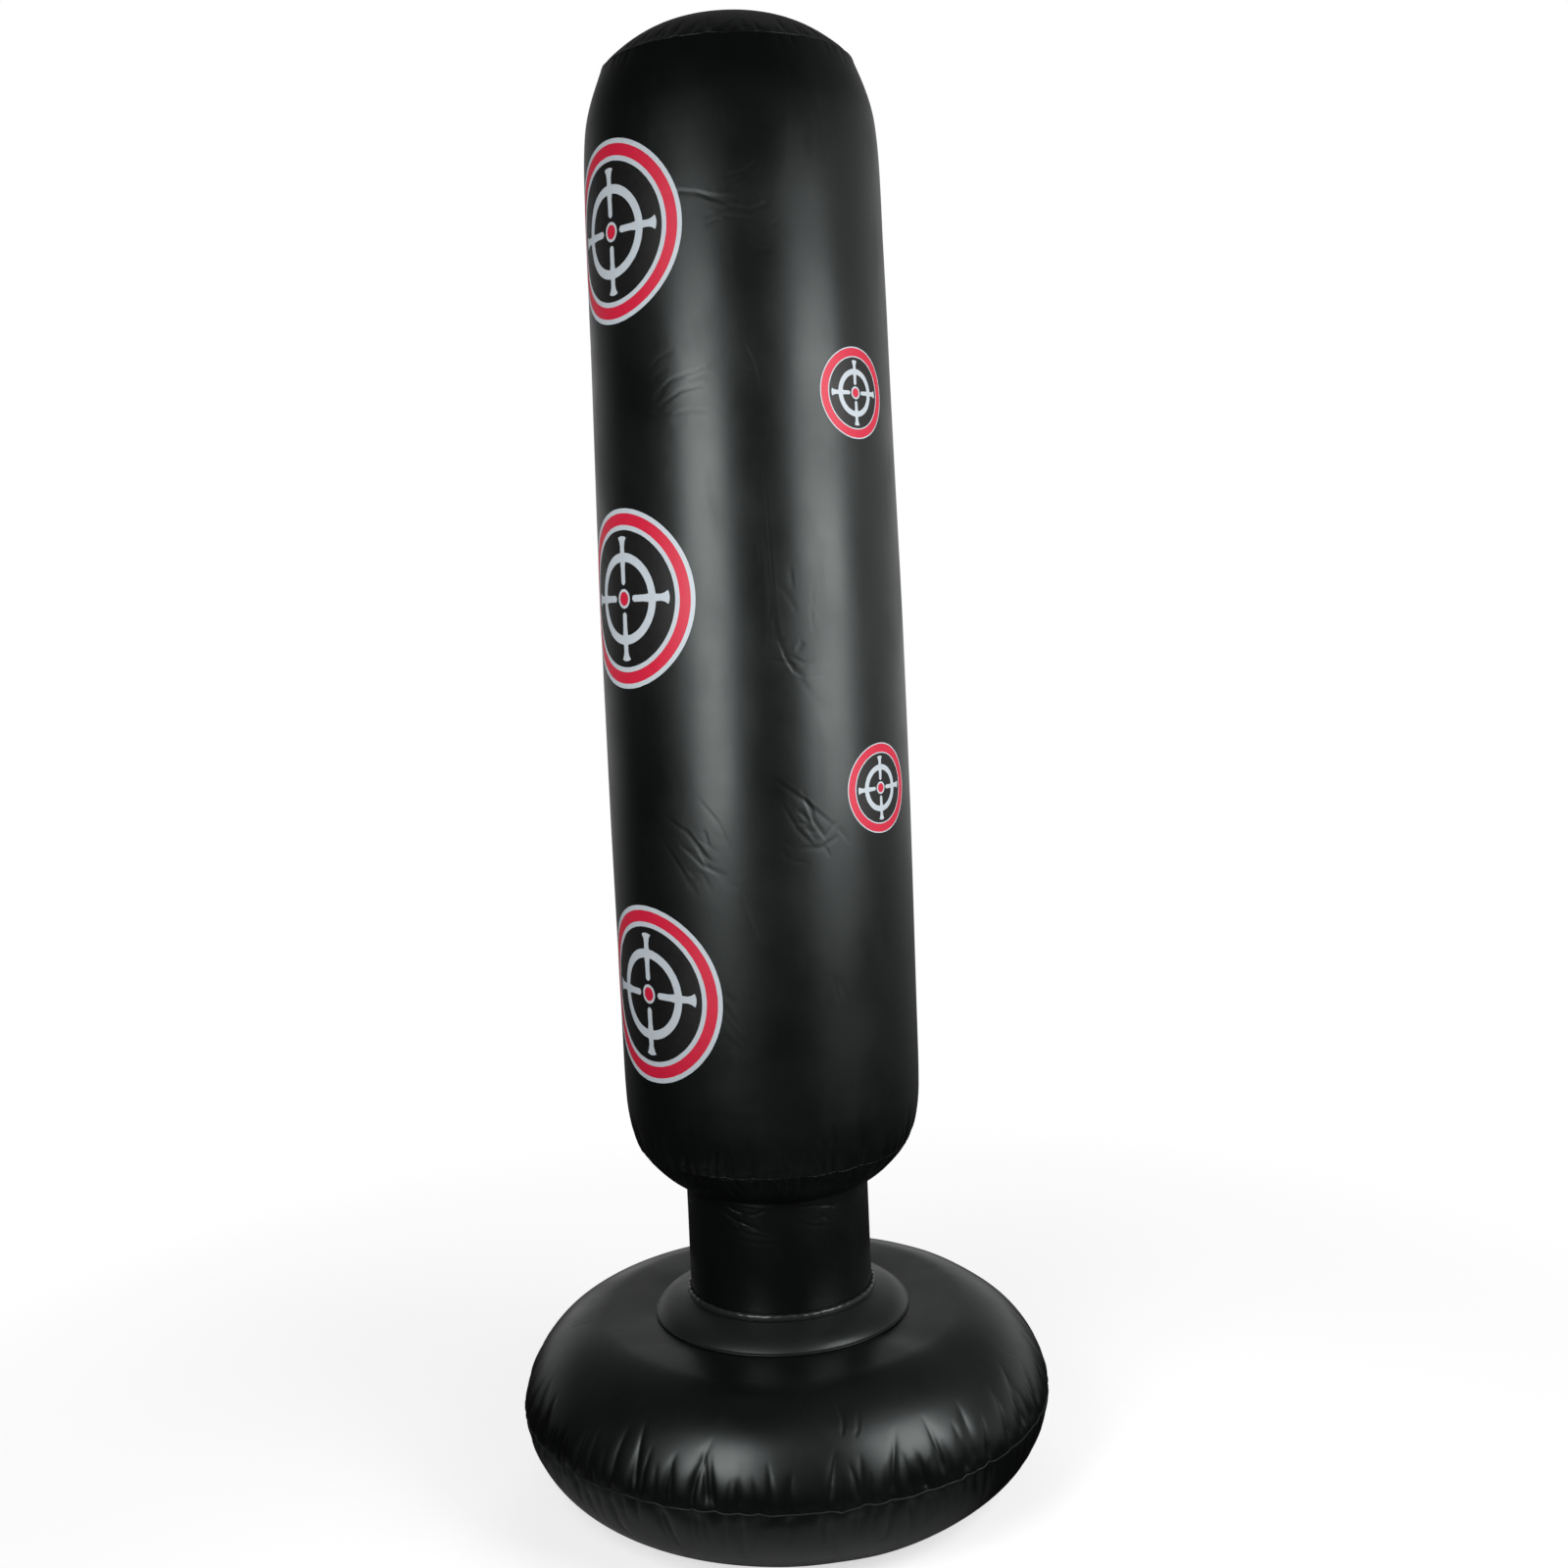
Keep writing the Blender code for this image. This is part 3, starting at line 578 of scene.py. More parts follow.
def bead_along(edge, radius, sides=6, tall=1.0):
    """A thin closed bead that follows a ring of points, as a patch. radius may vary along it."""
    ahead = unit(np.roll(edge, -1, axis=0) - np.roll(edge, 1, axis=0))
    out = unit(np.cross(ahead, (0.0, 0.0, 1.0)))
    rise = np.cross(out, ahead)
    radius = np.broadcast_to(np.asarray(radius, float).reshape(-1, 1), (len(edge), 1))
    rings = [edge + radius * (math.cos(t) * out + tall * math.sin(t) * rise) for t in around(sides)[::-1]]
    return patch(np.array(rings), loop=True)


# Half of the lap's section from its middle out: share of its half width, and how far it stands off (mm)
LAP_SHARES = np.array([0.0, 0.50, 0.66, 0.82, 1.0, 1.06])
LAP_LIFTS = np.array([0.58, 0.60, 0.85, 0.60, 0.55, 0.03]) * MM


def lap_patch(wall):
    """The strip where the wall's sheet laps over its own edge, with the two lines of its weld."""
    across = LAP_WIDTH / 2 * np.concatenate([-LAP_SHARES[:0:-1], LAP_SHARES])
    lift = np.concatenate([LAP_LIFTS[:0:-1], LAP_LIFTS])
    rows = np.linspace(SHOULDER_Z - 0.006, HEEL_Z + 0.006, 320)
    points = []
    for height in rows:
        point, normal = wall.at(LAP_ANGLE + across / COLUMN_RADIUS, np.full(len(across), height))
        end = 0.05 if height in (rows[0], rows[-1]) else 1.0
        points.append(point + normal * (lift * end)[:, None])
    return patch(np.array(points), closed=False)


def make_column(wall, pvc, seam_pvc):
    grid, heights = wall.grid, wall.profile[:, 1]
    first, second = (int(np.argmin(abs(heights - height))) for height in WALL_SPLITS)
    middle = slice(first, second + 1)
    thirds = {
        "upper": (patch(grid[: first + 1]), hem(grid[0], MARGIN * 0.83, -0.0045)),
        "middle": (patch(grid[middle], keep=wall.from_valve[middle] > 0.0125),),
        "lower": (patch(grid[second:]), hem(grid[-1], MARGIN, 0.0026)),
    }
    for name, patches in thirds.items():
        skin(f"column_wall_{name}_skin", patches, pvc, "column", ["column_wall_panel"])
    dome, under = dome_grid(wall), underside_grid(wall)
    patches = patch(dome), hem(dome[-1], MARGIN * 0.83, -0.0043)
    skin("column_top_skin", patches, pvc, "column", ["column_top_panel"])
    patches = patch(under), hem(under[0], MARGIN, 0.0023)
    skin("column_bottom_skin", patches, pvc, "column", ["column_bottom_panel"])
    skin("column_top_seam", [bead_along(grid[0], 0.0004)], pvc, "column")
    skin("column_bottom_seam", [bead_along(grid[-1], 0.00025)], pvc, "column")
    skin("column_lap_strip", [lap_patch(wall)], seam_pvc, "column")


# Base skins

# As WALL_FOLDS, with the distance above the seam for the height
BASE_FOLDS = [
    (4, 85, 10, 12, 78, 34, 3, 0.40),
    (14, 70, 12, 10, 74, 30, 3, 0.45),
    (-14, 76, 18, 10, 50, 30, 4, 0.30),
    (30, 74, 20, 10, 60, 30, 4, 0.35),
    (-40, 90, 30, 16, 30, 34, 4, 0.25),
    (60, 85, 30, 16, -40, 34, 4, 0.25),
    (120, 85, 30, 16, 60, 34, 5, 0.35),
    (205, 85, 30, 16, -60, 34, 5, 0.35),
    (270, 85, 30, 16, 60, 34, 5, 0.35),
]

# As WALL_FOLDS, with the distance from the neck for the height
COLLAR_FOLDS = [
    (-28, 20, 20, 6, 40, 18, 4, 0.16),
    (26, 22, 20, 6, -48, 22, 4, 0.18),
    (100, 20, 20, 6, 50, 20, 4, 0.16),
    (205, 20, 20, 6, -50, 20, 4, 0.16),
]


def base_top_profile():
    """From under the collar out over the crest to the seam."""
    inner = np.linspace(0.118, COLLAR_RADIUS, 8)[:-1]
    inner = np.column_stack([inner, NECK_FOOT_Z + COLLAR_SLOPE * (inner - COLLAR_BORE) - 0.0030])
    share = np.linspace(1.0, 0.0, 40)
    rise = np.column_stack([CREST[0] - (CREST[0] - VALLEY_RADIUS) * share, CREST[1] - VALLEY_DIP * share**2])
    reach = BASE_RADIUS - CREST[0], CREST[1] - BASE_SEAM_Z
    shoulder = oval((CREST[0], BASE_SEAM_Z), reach, CREST_POWER, np.linspace(math.pi / 2, 0.0, 160)[1:])
    return np.vstack([inner, rise, shoulder])


def base_bottom_profile():
    """From the seam down to the floor and in to the middle."""
    reach = BASE_RADIUS - FOOT_RADIUS, -BASE_SEAM_Z
    heel = oval((FOOT_RADIUS, BASE_SEAM_Z), reach, FOOT_POWER, np.linspace(0.0, math.pi / 2, 160))
    floor = np.column_stack([np.linspace(FOOT_RADIUS, 0.0005, 9)[1:], np.zeros(8)])
    return np.vstack([heel, floor])


def base_grids():
    """The base's top and bottom panels, the seam between them and the top's distances from its valve."""
    rng = np.random.default_rng(5)
    theta = around(1080)
    top = base_top_profile()
    length = arc_length(top)[-1]
    near = spaced(0.0, 0.070, 42)
    distance = np.concatenate([near, spaced(0.070, length, 34)[1:]])[::-1]
    top = resample(top, length - distance)
    upper = seam_creases(rng, 66, (0.034, 0.076), (0.0026, 0.0056), (0.0040, 0.0064))
    small = seam_creases(rng, 120, (0.016, 0.050), (0.0010, 0.0032), (0.0022, 0.0036))
    depth = level(creased(theta, top[:, 0], distance, upper + small))
    depth = add_folds(depth, theta, distance[:, None], BASE_RADIUS, BASE_FOLDS, rng)
    depth += soft_dents(rng, theta, distance[:, None], BASE_RADIUS, 40, 0.0006, (0.03, 0.07))
    from_valve = np.hypot(top[:, :1] * np.sin(theta) - FILL_VALVE[0], -top[:, :1] * np.cos(theta) - FILL_VALVE[1])
    depth *= smooth(0.022, 0.045, from_valve)
    top_grid = turned(top, theta, -depth)
    raised = 1.0 - smooth(0.021, 0.044, from_valve)
    top_grid[..., 2] += raised * (FILL_VALVE[2] - top_grid[..., 2])

    bottom = base_bottom_profile()
    full = arc_length(bottom)[-1]
    down = np.concatenate([near, spaced(0.070, 0.155, 18)[1:], spaced(0.155, full, 9)[1:]])
    bottom = resample(bottom, down)
    shared = shared_angles(rng, upper, 0.006)
    lower = seam_creases(rng, shared, (0.030, 0.066), (0.0022, 0.0048), (0.0034, 0.0054))
    lower += seam_creases(rng, 60, (0.018, 0.046), (0.0012, 0.0032), (0.0026, 0.0042))
    depth = level(creased(theta, bottom[:, 0], down, lower))
    dents = soft_dents(rng, theta, down[:, None], BASE_RADIUS, 24, 0.0005, (0.03, 0.07))
    depth += dents * (1.0 - smooth(0.10, 0.14, down)[:, None])
    bottom_grid = turned(bottom, theta, -depth)
    bottom_grid[..., 2] = np.maximum(bottom_grid[..., 2], 0.0)

    inward, up = seam_line(theta, BASE_RADIUS, upper + small[::2], 0.0009, 0.20)
    seam = ring_at(BASE_RADIUS, BASE_SEAM_Z, theta)
    move(seam, theta, inward, up)
    grids = join_edge(top_grid, seam, distance, 0.012), join_edge(bottom_grid, seam, down, 0.012)
    return *grids, seam, from_valve


def ring_at(radius, height, theta):
    """Points of a level circle round the axis."""
    return np.column_stack([radius * np.sin(theta), -radius * np.cos(theta), np.full(len(theta), height)])


def collar_patch(theta, rng):
    """The cone-shaped collar, slightly domed: top face, rounded edge and a short way back underneath."""
    start, end = np.array([COLLAR_BORE, NECK_FOOT_Z]), np.array([COLLAR_RADIUS - 0.0005, COLLAR_EDGE_Z])
    rise = np.array([start[1] - end[1], end[0] - start[0]])
    rise *= COLLAR_DOME / np.linalg.norm(rise)

    def domed(share):
        return start + (end - start) * share + rise * 6.75 * share**2 * (1 - share)  # 6.75 brings its top to 1

    turn = np.radians([75, 45, 15, -15, -45, -75, -100])[:, None]
    edge = (COLLAR_RADIUS - 0.0006, COLLAR_EDGE_Z - 0.0004) + 0.0006 * np.hstack([np.cos(turn), np.sin(turn)])
    back = domed(np.linspace(0.97, 0.55, 6)[:, None]) - (0.0, 0.0012)
    profile = np.vstack([domed(np.linspace(0.0, 1.0, 24)[:, None]), edge, back])
    distance = arc_length(profile)[:, None]
    depth = soft_dents(rng, theta, distance, 0.115, 26, 0.00022, (0.012, 0.03))
    depth = add_folds(depth, theta, distance, 0.118, COLLAR_FOLDS, rng)
    depth *= 1.0 - smooth(0.036, 0.041, distance)
    return patch(turned(profile, theta, -depth))


def make_base(pvc, seam_pvc, collar_pvc, bead):
    rng = np.random.default_rng(71)
    top, bottom, seam, from_valve = base_grids()
    patches = patch(top, keep=from_valve > 0.0175), hem(seam, MARGIN, 0.0)
    skin("base_top_skin", patches, pvc, "base", ["base_top_panel"])
    skin("base_bottom_skin", [patch(bottom)], pvc, "base", ["base_bottom_panel"])
    skin("base_seam_edge", [bead_along(seam, 0.0008)], seam_pvc, "base")
    theta = around(480)
    skin("collar_skin", [collar_patch(theta, rng)], collar_pvc, "base", ["neck_collar"], "pvc_collar")
    uneven = sum(rng.uniform(0.3, 1.0) * np.cos(k * theta + rng.uniform(0, TAU)) for k in (3, 5, 8, 13, 21, 34, 55))
    uneven /= np.abs(uneven).max()
    edge = ring_at(NECK_RADIUS + 0.0018, NECK_FOOT_Z + 0.0028, theta)
    edge[:, 2] += 0.0004 * np.roll(uneven, 60)
    ring = bead_along(edge, 0.0025 + 0.0003 * uneven, 14, 1.45)
    skin("neck_bead_ring", [ring], bead, "base", ["neck_weld_bead"], "weld_bead")


# Neck skins

# As WALL_LINES
NECK_LINES = [
    (0.30, 1.0, 0.6, -38, 309.2, -26, 309.8, -14, 309.4),
    (0.50, 1.1, -0.9, -33, 308.5, -28, 305.0, -21, 302.8),
    (0.46, 1.1, 0.9, -19, 302.6, -14, 303.8, -8, 308.5),
    (0.34, 1.4, 1.0, -42, 306.5, -30, 298.5, -16, 290.0),
    (0.30, 1.3, -1.0, -38, 303.0, -26, 294.5, -12, 287.0),
    (0.26, 1.3, 1.0, -33, 299.0, -22, 290.5, -8, 283.5),
    (0.22, 1.2, -1.0, -27, 296.0, -16, 288.0, -4, 282.0),
    (0.20, 1.4, 1.0, -34, 288.0, -20, 283.5, -2, 280.0),
    (0.16, 1.4, 1.0, -28, 276.0, -12, 274.0, 4, 274.5),
    (0.30, 1.0, 0.8, 12, 309.2, 24, 308.2, 33, 305.0),
    (0.34, 1.0, -0.9, 24, 306.2, 32, 304.2, 40, 303.0),
    (0.60, 1.1, 0.8, 34, 304.0, 37, 302.2),
    (0.18, 1.4, 1.0, 10, 296.0, 20, 288.0, 34, 285.0),
]

# As WALL_FOLDS
NECK_FOLDS = [
    (-24, 295, 16, 10, -32, 20, 8, 0.20),
    (26, 298, 16, 8, -20, 16, 5, 0.20),
    (62, 299, 10, 6, 60, 20, 4, 0.30),
    (-64, 299, 10, 6, -60, 20, 4, 0.30),
    (110, 302, 12, 3, 10, 24, 6, 0.40),
    (150, 298, 12, 5, -45, 24, 7, 0.40),
    (196, 302, 12, 3, 20, 24, 7, 0.44),
    (240, 298, 12, 5, 45, 24, 7, 0.40),
    (285, 302, 12, 3, -15, 24, 6, 0.40),
]


def neck_grid(theta, rng):
    """The neck tube, with folds near its top where the column bears on it."""
    rows = [np.linspace(NECK_TOP_Z + 0.004, 0.270, 62), np.linspace(0.270, NECK_SPLIT_Z, 9)[1:]]
    rows.append(np.linspace(NECK_SPLIT_Z, NECK_FOOT_Z - 0.004, 26)[1:])
    heights = np.concatenate(rows)
    profile = np.column_stack([np.full(len(heights), NECK_RADIUS), heights])
    rise = heights[:, None]
    depth = add_lines(np.zeros((len(heights), len(theta))), theta, rise, NECK_RADIUS, NECK_LINES)
    depth = add_folds(depth, theta, rise, NECK_RADIUS, NECK_FOLDS, rng)
    depth += soft_dents(rng, theta, rise, NECK_RADIUS, 40, 0.00030, (0.010, 0.03))
    depth *= smooth(NECK_FOOT_Z, NECK_FOOT_Z + 0.012, rise) * (1.0 - smooth(0.3100, 0.3135, rise))
    return heights, turned(profile, theta, -depth)


def make_neck(pvc):
    heights, tube = neck_grid(around(720), np.random.default_rng(43))
    split = int(np.argmin(abs(heights - NECK_SPLIT_Z)))
    upper = skin("neck_upper_skin", [patch(tube[: split + 1])], pvc, None, ["neck_tube"])
    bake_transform(upper)
    lower = skin("neck_lower_skin", [patch(tube[split:])], pvc, None, ["neck_tube"])
    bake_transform(lower)


# Valve parts


def on_air_valve(points):
    """Valve points (across, down, out of the wall) in the row frame."""
    x, y, h = np.asarray(points, float).T
    return np.column_stack([AIR_VALVE[0] + x, AIR_VALVE[1] + h, AIR_VALVE[2] - y])


def on_fill_valve(points):
    """Valve points (across, back, up) in the row frame."""
    return np.asarray(points, float) + FILL_VALVE


def mm(*numbers):
    """Pairs of millimetres as points in metres."""
    return np.reshape(numbers, (-1, 2)) * MM


def rounded(corners, bevel, closed):
    """The corners of a section with each one rounded. Corners on the axis stay sharp."""
    count, made = len(corners), []
    for number, corner in enumerate(corners):
        ends = not closed and number in (0, count - 1)
        if ends or corner[0] < 1e-9:
            made.append(corner)
            continue
        before, after = corners[number - 1] - corner, corners[(number + 1) % count] - corner
        lengths = np.linalg.norm(before), np.linalg.norm(after)
        reach = min(bevel, 0.45 * lengths[0], 0.45 * lengths[1])
        ends = corner + before / lengths[0] * reach, corner + after / lengths[1] * reach
        made += [curve(ends[0], corner, ends[1], t) for t in (0.0, 0.33, 0.67, 1.0)]
    return np.array(made)


def lathe(corners, place, bevel=0.00035, segments=96, grip=None):
    """A turned part as a patch. corners go round its section, or from the axis back to the axis.

    grip is (count, depth, radius): that many shallow flutes round what lies outside the radius."""
    closed = corners[0][0] > 1e-9
    section = rounded(corners, bevel, closed)
    theta = around(segments)
    radius = np.broadcast_to(section[:, :1], (len(section), segments)).copy()
    if grip:
        count, depth, beyond = grip
        flute = (0.5 + 0.5 * np.cos(count * theta)) ** 2
        radius -= depth * flute[None, :] * smooth(beyond, beyond + 0.0008, radius)
    height = np.broadcast_to(section[:, 1:], radius.shape)
    grid = np.stack([radius * np.cos(theta), radius * np.sin(theta), height], axis=-1)
    points, faces = patch(grid, loop=closed)
    return place(points), faces


def strap(path, width, thickness, place):
    """A flat strap with rounded edges along a path of (across, height) points, as a patch."""
    middles = (path[:-1] + path[1:]) / 2
    middles[0], middles[-1] = path[0], path[-1]
    fine = np.linspace(0.0, 1.0, 10)[1:-1, None]
    bends = [curve(middles[k], path[k + 1], middles[k + 1], fine) for k in range(len(path) - 2)]
    line = np.vstack([path[:1], *bends, path[-1:]])
    ahead = unit(np.gradient(line, axis=0))
    thick = thickness / 2
    soft = thick * 0.8
    turn = np.radians(np.arange(0, 360, 90)[:, None] + [0.0, 45.0, 90.0])
    halves = (np.cos, width / 2), (np.sin, thick)
    u, v = ((np.sign(way(turn[:, 1:2])) * (half - soft) + soft * way(turn)).ravel() for way, half in halves)
    x, y, dx, dy = (column[:, None] for column in (*line.T, *ahead.T))
    grid = np.stack([x - v * dy, np.broadcast_to(u, (len(line), len(u))), y + v * dx], axis=-1)
    points, faces = patch(grid)
    middle, last = len(points), (len(grid) - 1) * turn.size
    caps = np.array([grid[0].mean(axis=0), grid[-1].mean(axis=0)])
    ring = np.arange(turn.size)
    after = np.roll(ring, -1)
    start = np.stack([np.full_like(ring, middle), ring, after, after], axis=-1)
    end = np.stack([np.full_like(ring, middle + 1), last + after, last + ring, last + ring], axis=-1)
    return place(np.vstack([points, caps])), np.vstack([faces, start, end])


def solid(name, *patches):
    """One mesh of closed shapes: outward faces, sharp where the surface turns sharply."""
    points, faces = joined(patches)
    made = mesh_object(name, points, [list(dict.fromkeys(face)) for face in faces])
    shape = bmesh.new()
    shape.from_mesh(made.data)
    bmesh.ops.remove_doubles(shape, verts=shape.verts, dist=1e-7)
    bmesh.ops.recalc_face_normals(shape, faces=shape.faces)
    shape.to_mesh(made.data)
    shape.free()
    made.data.set_sharp_from_angle(angle=SHARP)
    return made


def cut(piece, *cutters):
    """Takes closed patches out of a piece."""
    for number, patches in enumerate(cutters):
        tool = solid(f"cutter_{number}", patches)
        modifier = piece.modifiers.new("cut", "BOOLEAN")
        modifier.operation = "DIFFERENCE"
        modifier.solver = "EXACT"
        modifier.object = tool
        bpy.context.view_layer.update()
        graph = bpy.context.evaluated_depsgraph_get()
        mesh = bpy.data.meshes.new_from_object(piece.evaluated_get(graph))
        piece.modifiers.clear()
        piece.data = mesh
        bpy.data.objects.remove(tool)
    piece.data.shade_smooth()
    piece.data.set_sharp_from_angle(angle=SHARP)
    return piece


def valve_part(name, look, body, node, *patches):
    """A moulded part of a valve. look is its material and a slot name, which is not used."""
    return dress(solid(name, *patches), *look, body, [node])


def make_air_valve(plastic, rubber):
    at = on_air_valve
    flange = mm(6.2, 1.5, 16.5, 1.5, 16.5, -0.1, 7.0, -0.1, 7.0, -12.0, 6.2, -12.0)
    ridge = mm(12.8, 1.3, 13.6, 1.9, 14.4, 1.3)
    patches = lathe(flange, at, 0.0006), lathe(ridge, at, 0.0003)
    valve_part("air_valve_flange_ring", plastic, "column", "air_valve_flange", *patches)
    stem = mm(4.0, 12.5, 6.6, 12.5, 6.6, 10.5, 5.8, 10.5, 5.8, -14.0, 4.0, -14.0)
    valve_part("air_valve_stem_tube", plastic, "air_stem", "air_valve_stem", lathe(stem, at, 0.0005))
    plug = mm(0, 15.0, 6.6, 15.0, 6.6, 12.8, 3.6, 12.8, 3.6, 6.8, 3.0, 5.8, 0, 5.8)
    valve_part("air_valve_plug_cap", plastic, "air_plug", "air_valve_plug", lathe(plug, at, 0.0007))
    loop = mm(6.0, 10.7, 8.8, 10.4, 10.4, 11.0, 10.8, 12.4, 10.4, 14.2, 8.8, 14.8, 6.0, 14.4)
    piece = valve_part("air_plug_strap_loop", plastic, None, "air_plug_strap", strap(loop, 0.0040, FILM, at))
    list(at([(0, 0, 0.0108), (0, 0, 0.0143)]).tolist())
    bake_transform(piece)
    flap = mm(0, -14.3, 5.2, -14.3, 5.2, -15.1, 0, -15.1)
    valve_part("air_check_flap_disc", rubber, "air_flap", "air_check_flap", lathe(flap, at, 0.0002, 64))


def make_fill_valve(plastic, rubber):
    at = on_fill_valve
    seat = mm(13.5, 1.5, 21.0, 1.5, 21.0, -0.1, 16.0, -0.1, 16.0, -14.0, 13.5, -14.0)
    valve_part("fill_valve_seat_ring", plastic, "base", "fill_valve_seat", lathe(seat, at, 0.0006))
    body = mm(1.6, -11.5, 9.5, -11.5, 9.5, 6.2, 18.0, 6.2, 18.0, 3.7, 13.1, 3.7, 13.1, -13.0, 1.6, -13.0)
    piece = solid("fill_valve_body_tube", lathe(body, at, 0.0006, 144, (24, 0.0006, 0.0165)))
    hole = mm(0, 0, 2.6, 0, 2.6, -20, 0, -20)
    holes = []
    for turn in np.radians([0, 90, 180, 270]):
        points, faces = lathe(hole, np.asarray, 0.0, 32)
        holes.append((at(points + (0.0056 * math.cos(turn), 0.0056 * math.sin(turn), 0.0)), faces))
    dress(cut(piece, *holes), *plastic, "fill_body", ["fill_valve_body"])
    seal = mm(13.4, 3.4, 15.2, 3.4, 15.6, 2.6, 15.2, 1.8, 13.4, 1.8)
    valve_part("fill_valve_seal_ring", rubber, "fill_body", "fill_valve_seal", lathe(seal, at, 0.0005))
    cap = mm(0, 8.7, 11.8, 8.7, 11.8, 6.5, 9.1, 6.5, 9.1, 0.5, 0, 0.5)
    nub = mm(0, 8.5, 7.0, 8.5, 6.2, 9.2, 0, 9.2)
    patches = lathe(cap, at, 0.0007), lathe(nub, at, 0.0004)
    valve_part("fill_valve_cap_plug", plastic, "fill_cap", "fill_valve_cap", *patches)
    path = mm(11.2, 7.4, 13.0, 7.7, 14.4, 6.8, 15.8, 6.6, 17.2, 6.5)
    piece = valve_part("fill_cap_strap_band", plastic, None, "fill_cap_strap", strap(path, 0.0050, 0.0009, at))
    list(at([(0.0166, 0, 0.0065), (0.0120, 0, 0.0065)]).tolist())
    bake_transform(piece)
    ring = mm(15.9, 3.2, 19.6, 3.2, 19.6, 1.8, 15.9, 1.8)
    tail = mm(17.8, 2.4, 22.0, 2.4, 24.8, 1.0, 28.0, 0.5, 34.0, 0.5, 36.0, 0.4)
    patches = lathe(ring, at, 0.0004), strap(tail, 0.0070, 0.0009, at)
    piece = valve_part("fill_valve_tether_strap", rubber, None, "fill_valve_tether", *patches)
    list(at([(0.0345, 0, 0), (0.0205, 0, 0)]).tolist())
    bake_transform(piece)
    disc = mm(0, -7.8, 1.4, -8.0, 2.4, -8.6, 2.4, -9.2, 1.1, -9.2, 1.1, -13.3, 11.2, -13.3, 11.2, -14.1, 0, -14.1)
    patches = [lathe(disc, at, 0.0002, 72)]
    valve_part("fill_valve_diaphragm_disc", rubber, "fill_diaphragm", "fill_valve_diaphragm", *patches)


def make_inside(pvc, water):
    """The sleeve that parts air from water, and the water, both hidden inside the base."""
    roof = NECK_FOOT_Z + COLLAR_SLOPE * (SLEEVE_RADIUS - COLLAR_BORE) - 0.0062
    sleeve = [(SLEEVE_RADIUS - MARGIN, roof + 0.004), (SLEEVE_RADIUS - 0.001, roof)]
    sleeve += [(SLEEVE_RADIUS, height) for height in np.linspace(roof - 0.001, 0.0022, 40)]
    sleeve += [(SLEEVE_RADIUS - 0.001, 0.0012), (SLEEVE_RADIUS - MARGIN, 0.0012)]
    skin("core_sleeve_skin", [patch(turned(np.array(sleeve), around(180)))], pvc, "base", ["core_sleeve"])
    top, bottom = base_top_profile(), base_bottom_profile()
    upper, lower = (profile - profile_normals(profile) * WATER_INSET for profile in (top, bottom))
    upper = upper[(upper[:, 1] < WATER_LEVEL) & (top[:, 0] > CREST[0])]
    lower = lower[(bottom[:, 0] > FOOT_RADIUS) & (lower[:, 1] < BASE_SEAM_Z - 0.002)]
    inner, floor = SLEEVE_RADIUS + 0.001, WATER_INSET * 0.5
    surface = [(inner, WATER_LEVEL), (upper[0, 0] - 0.001, WATER_LEVEL)]
    section = np.vstack([surface, upper[::6], lower[::6], [(FOOT_RADIUS, floor), (inner, floor)]])
    piece = solid("water_fill_body", lathe(section, np.asarray, 0.0005, 180))
    dress(piece, water, "ballast_water", "base", ["water_fill"])


# Prints


def band(inner, outer):
    """A flat ring of (right, up) points, as a grid with radius along its rows."""
    rings = max(int(math.ceil((outer - inner) / PRINT_CELL)), 2) + 1
    turns = around(max(int(TAU * outer / PRINT_CELL), 32))
    radius = np.linspace(inner, outer, rings)[:, None]
    return np.stack([radius * np.cos(turns), radius * np.sin(turns)], axis=-1), True


def arm(turn, radii, halves):
    """One arm of the cross, round at its inner end and bulging at its outer, as a grid of flat points."""
    start, length = radii[0], radii[-1] - radii[0]
    radius = np.linspace(start, radii[-1], max(int(length / PRINT_CELL * 2), 24))
    tip = halves[1]
    close = np.clip((radius - start) / tip, 0.0, 1.0)
    round_tip = tip * np.sqrt(np.clip(1 - (1 - close) ** 2, 0.02, 1.0))
    half = np.where(radius < start + tip, round_tip, np.interp(radius, radii, halves))
    across = np.linspace(-1.0, 1.0, 9)
    bulge = (1 - across**2) * half[-1] * 0.25 * smooth(radius[0], radius[-1], radius)[:, None] ** 6
    u = radius[:, None] + bulge
    v = -half[:, None] * across
    c, s = math.cos(turn), math.sin(turn)
    return np.stack([u * c + v * s, u * s - v * c], axis=-1), False


def target_parts(size, light, red, radii, halves):
    """The flat shapes of one target as {ink: [(grid, closed)]}."""
    rings = {"light": light, "red": red, "black": [BLACK_RING]}
    parts = {ink: [band(a * size, b * size) for a, b in pairs] for ink, pairs in rings.items()}
    shape = np.array(radii) * size, np.array(halves) * size
    parts["light"] += [arm(turn, *shape) for turn in np.radians([0, 90, 180, 270])]
    return parts


def make_prints(wall, inks):
    """The printed targets, laid on the wall a hair above its surface."""
    patches = {ink: [] for ink in PRINT_LIFTS}
    for degrees, height, kind in TARGETS + [(degrees + 180, height, kind) for degrees, height, kind in TARGETS]:
        for ink, shapes in target_parts(*kind).items():
            for shape, closed in shapes:
                right, up = shape.reshape(-1, 2).T
                point, normal = wall.at(math.radians(degrees) + right / COLUMN_RADIUS, height + up)
                grid = (point + normal * PRINT_LIFTS[ink]).reshape(*shape.shape[:2], 3)
                patches[ink].append(patch(grid, closed))
    for ink, found in patches.items():
        skin(f"print_{ink}_layer", found, inks[ink], "column", slot=f"print_{ink}")


# Materials

FILM_SHEEN = (0.92, 1.0, 0.985, 1.0)  # the film mirrors a little cool


def grey(value):
    return (value, value, value, 1.0)


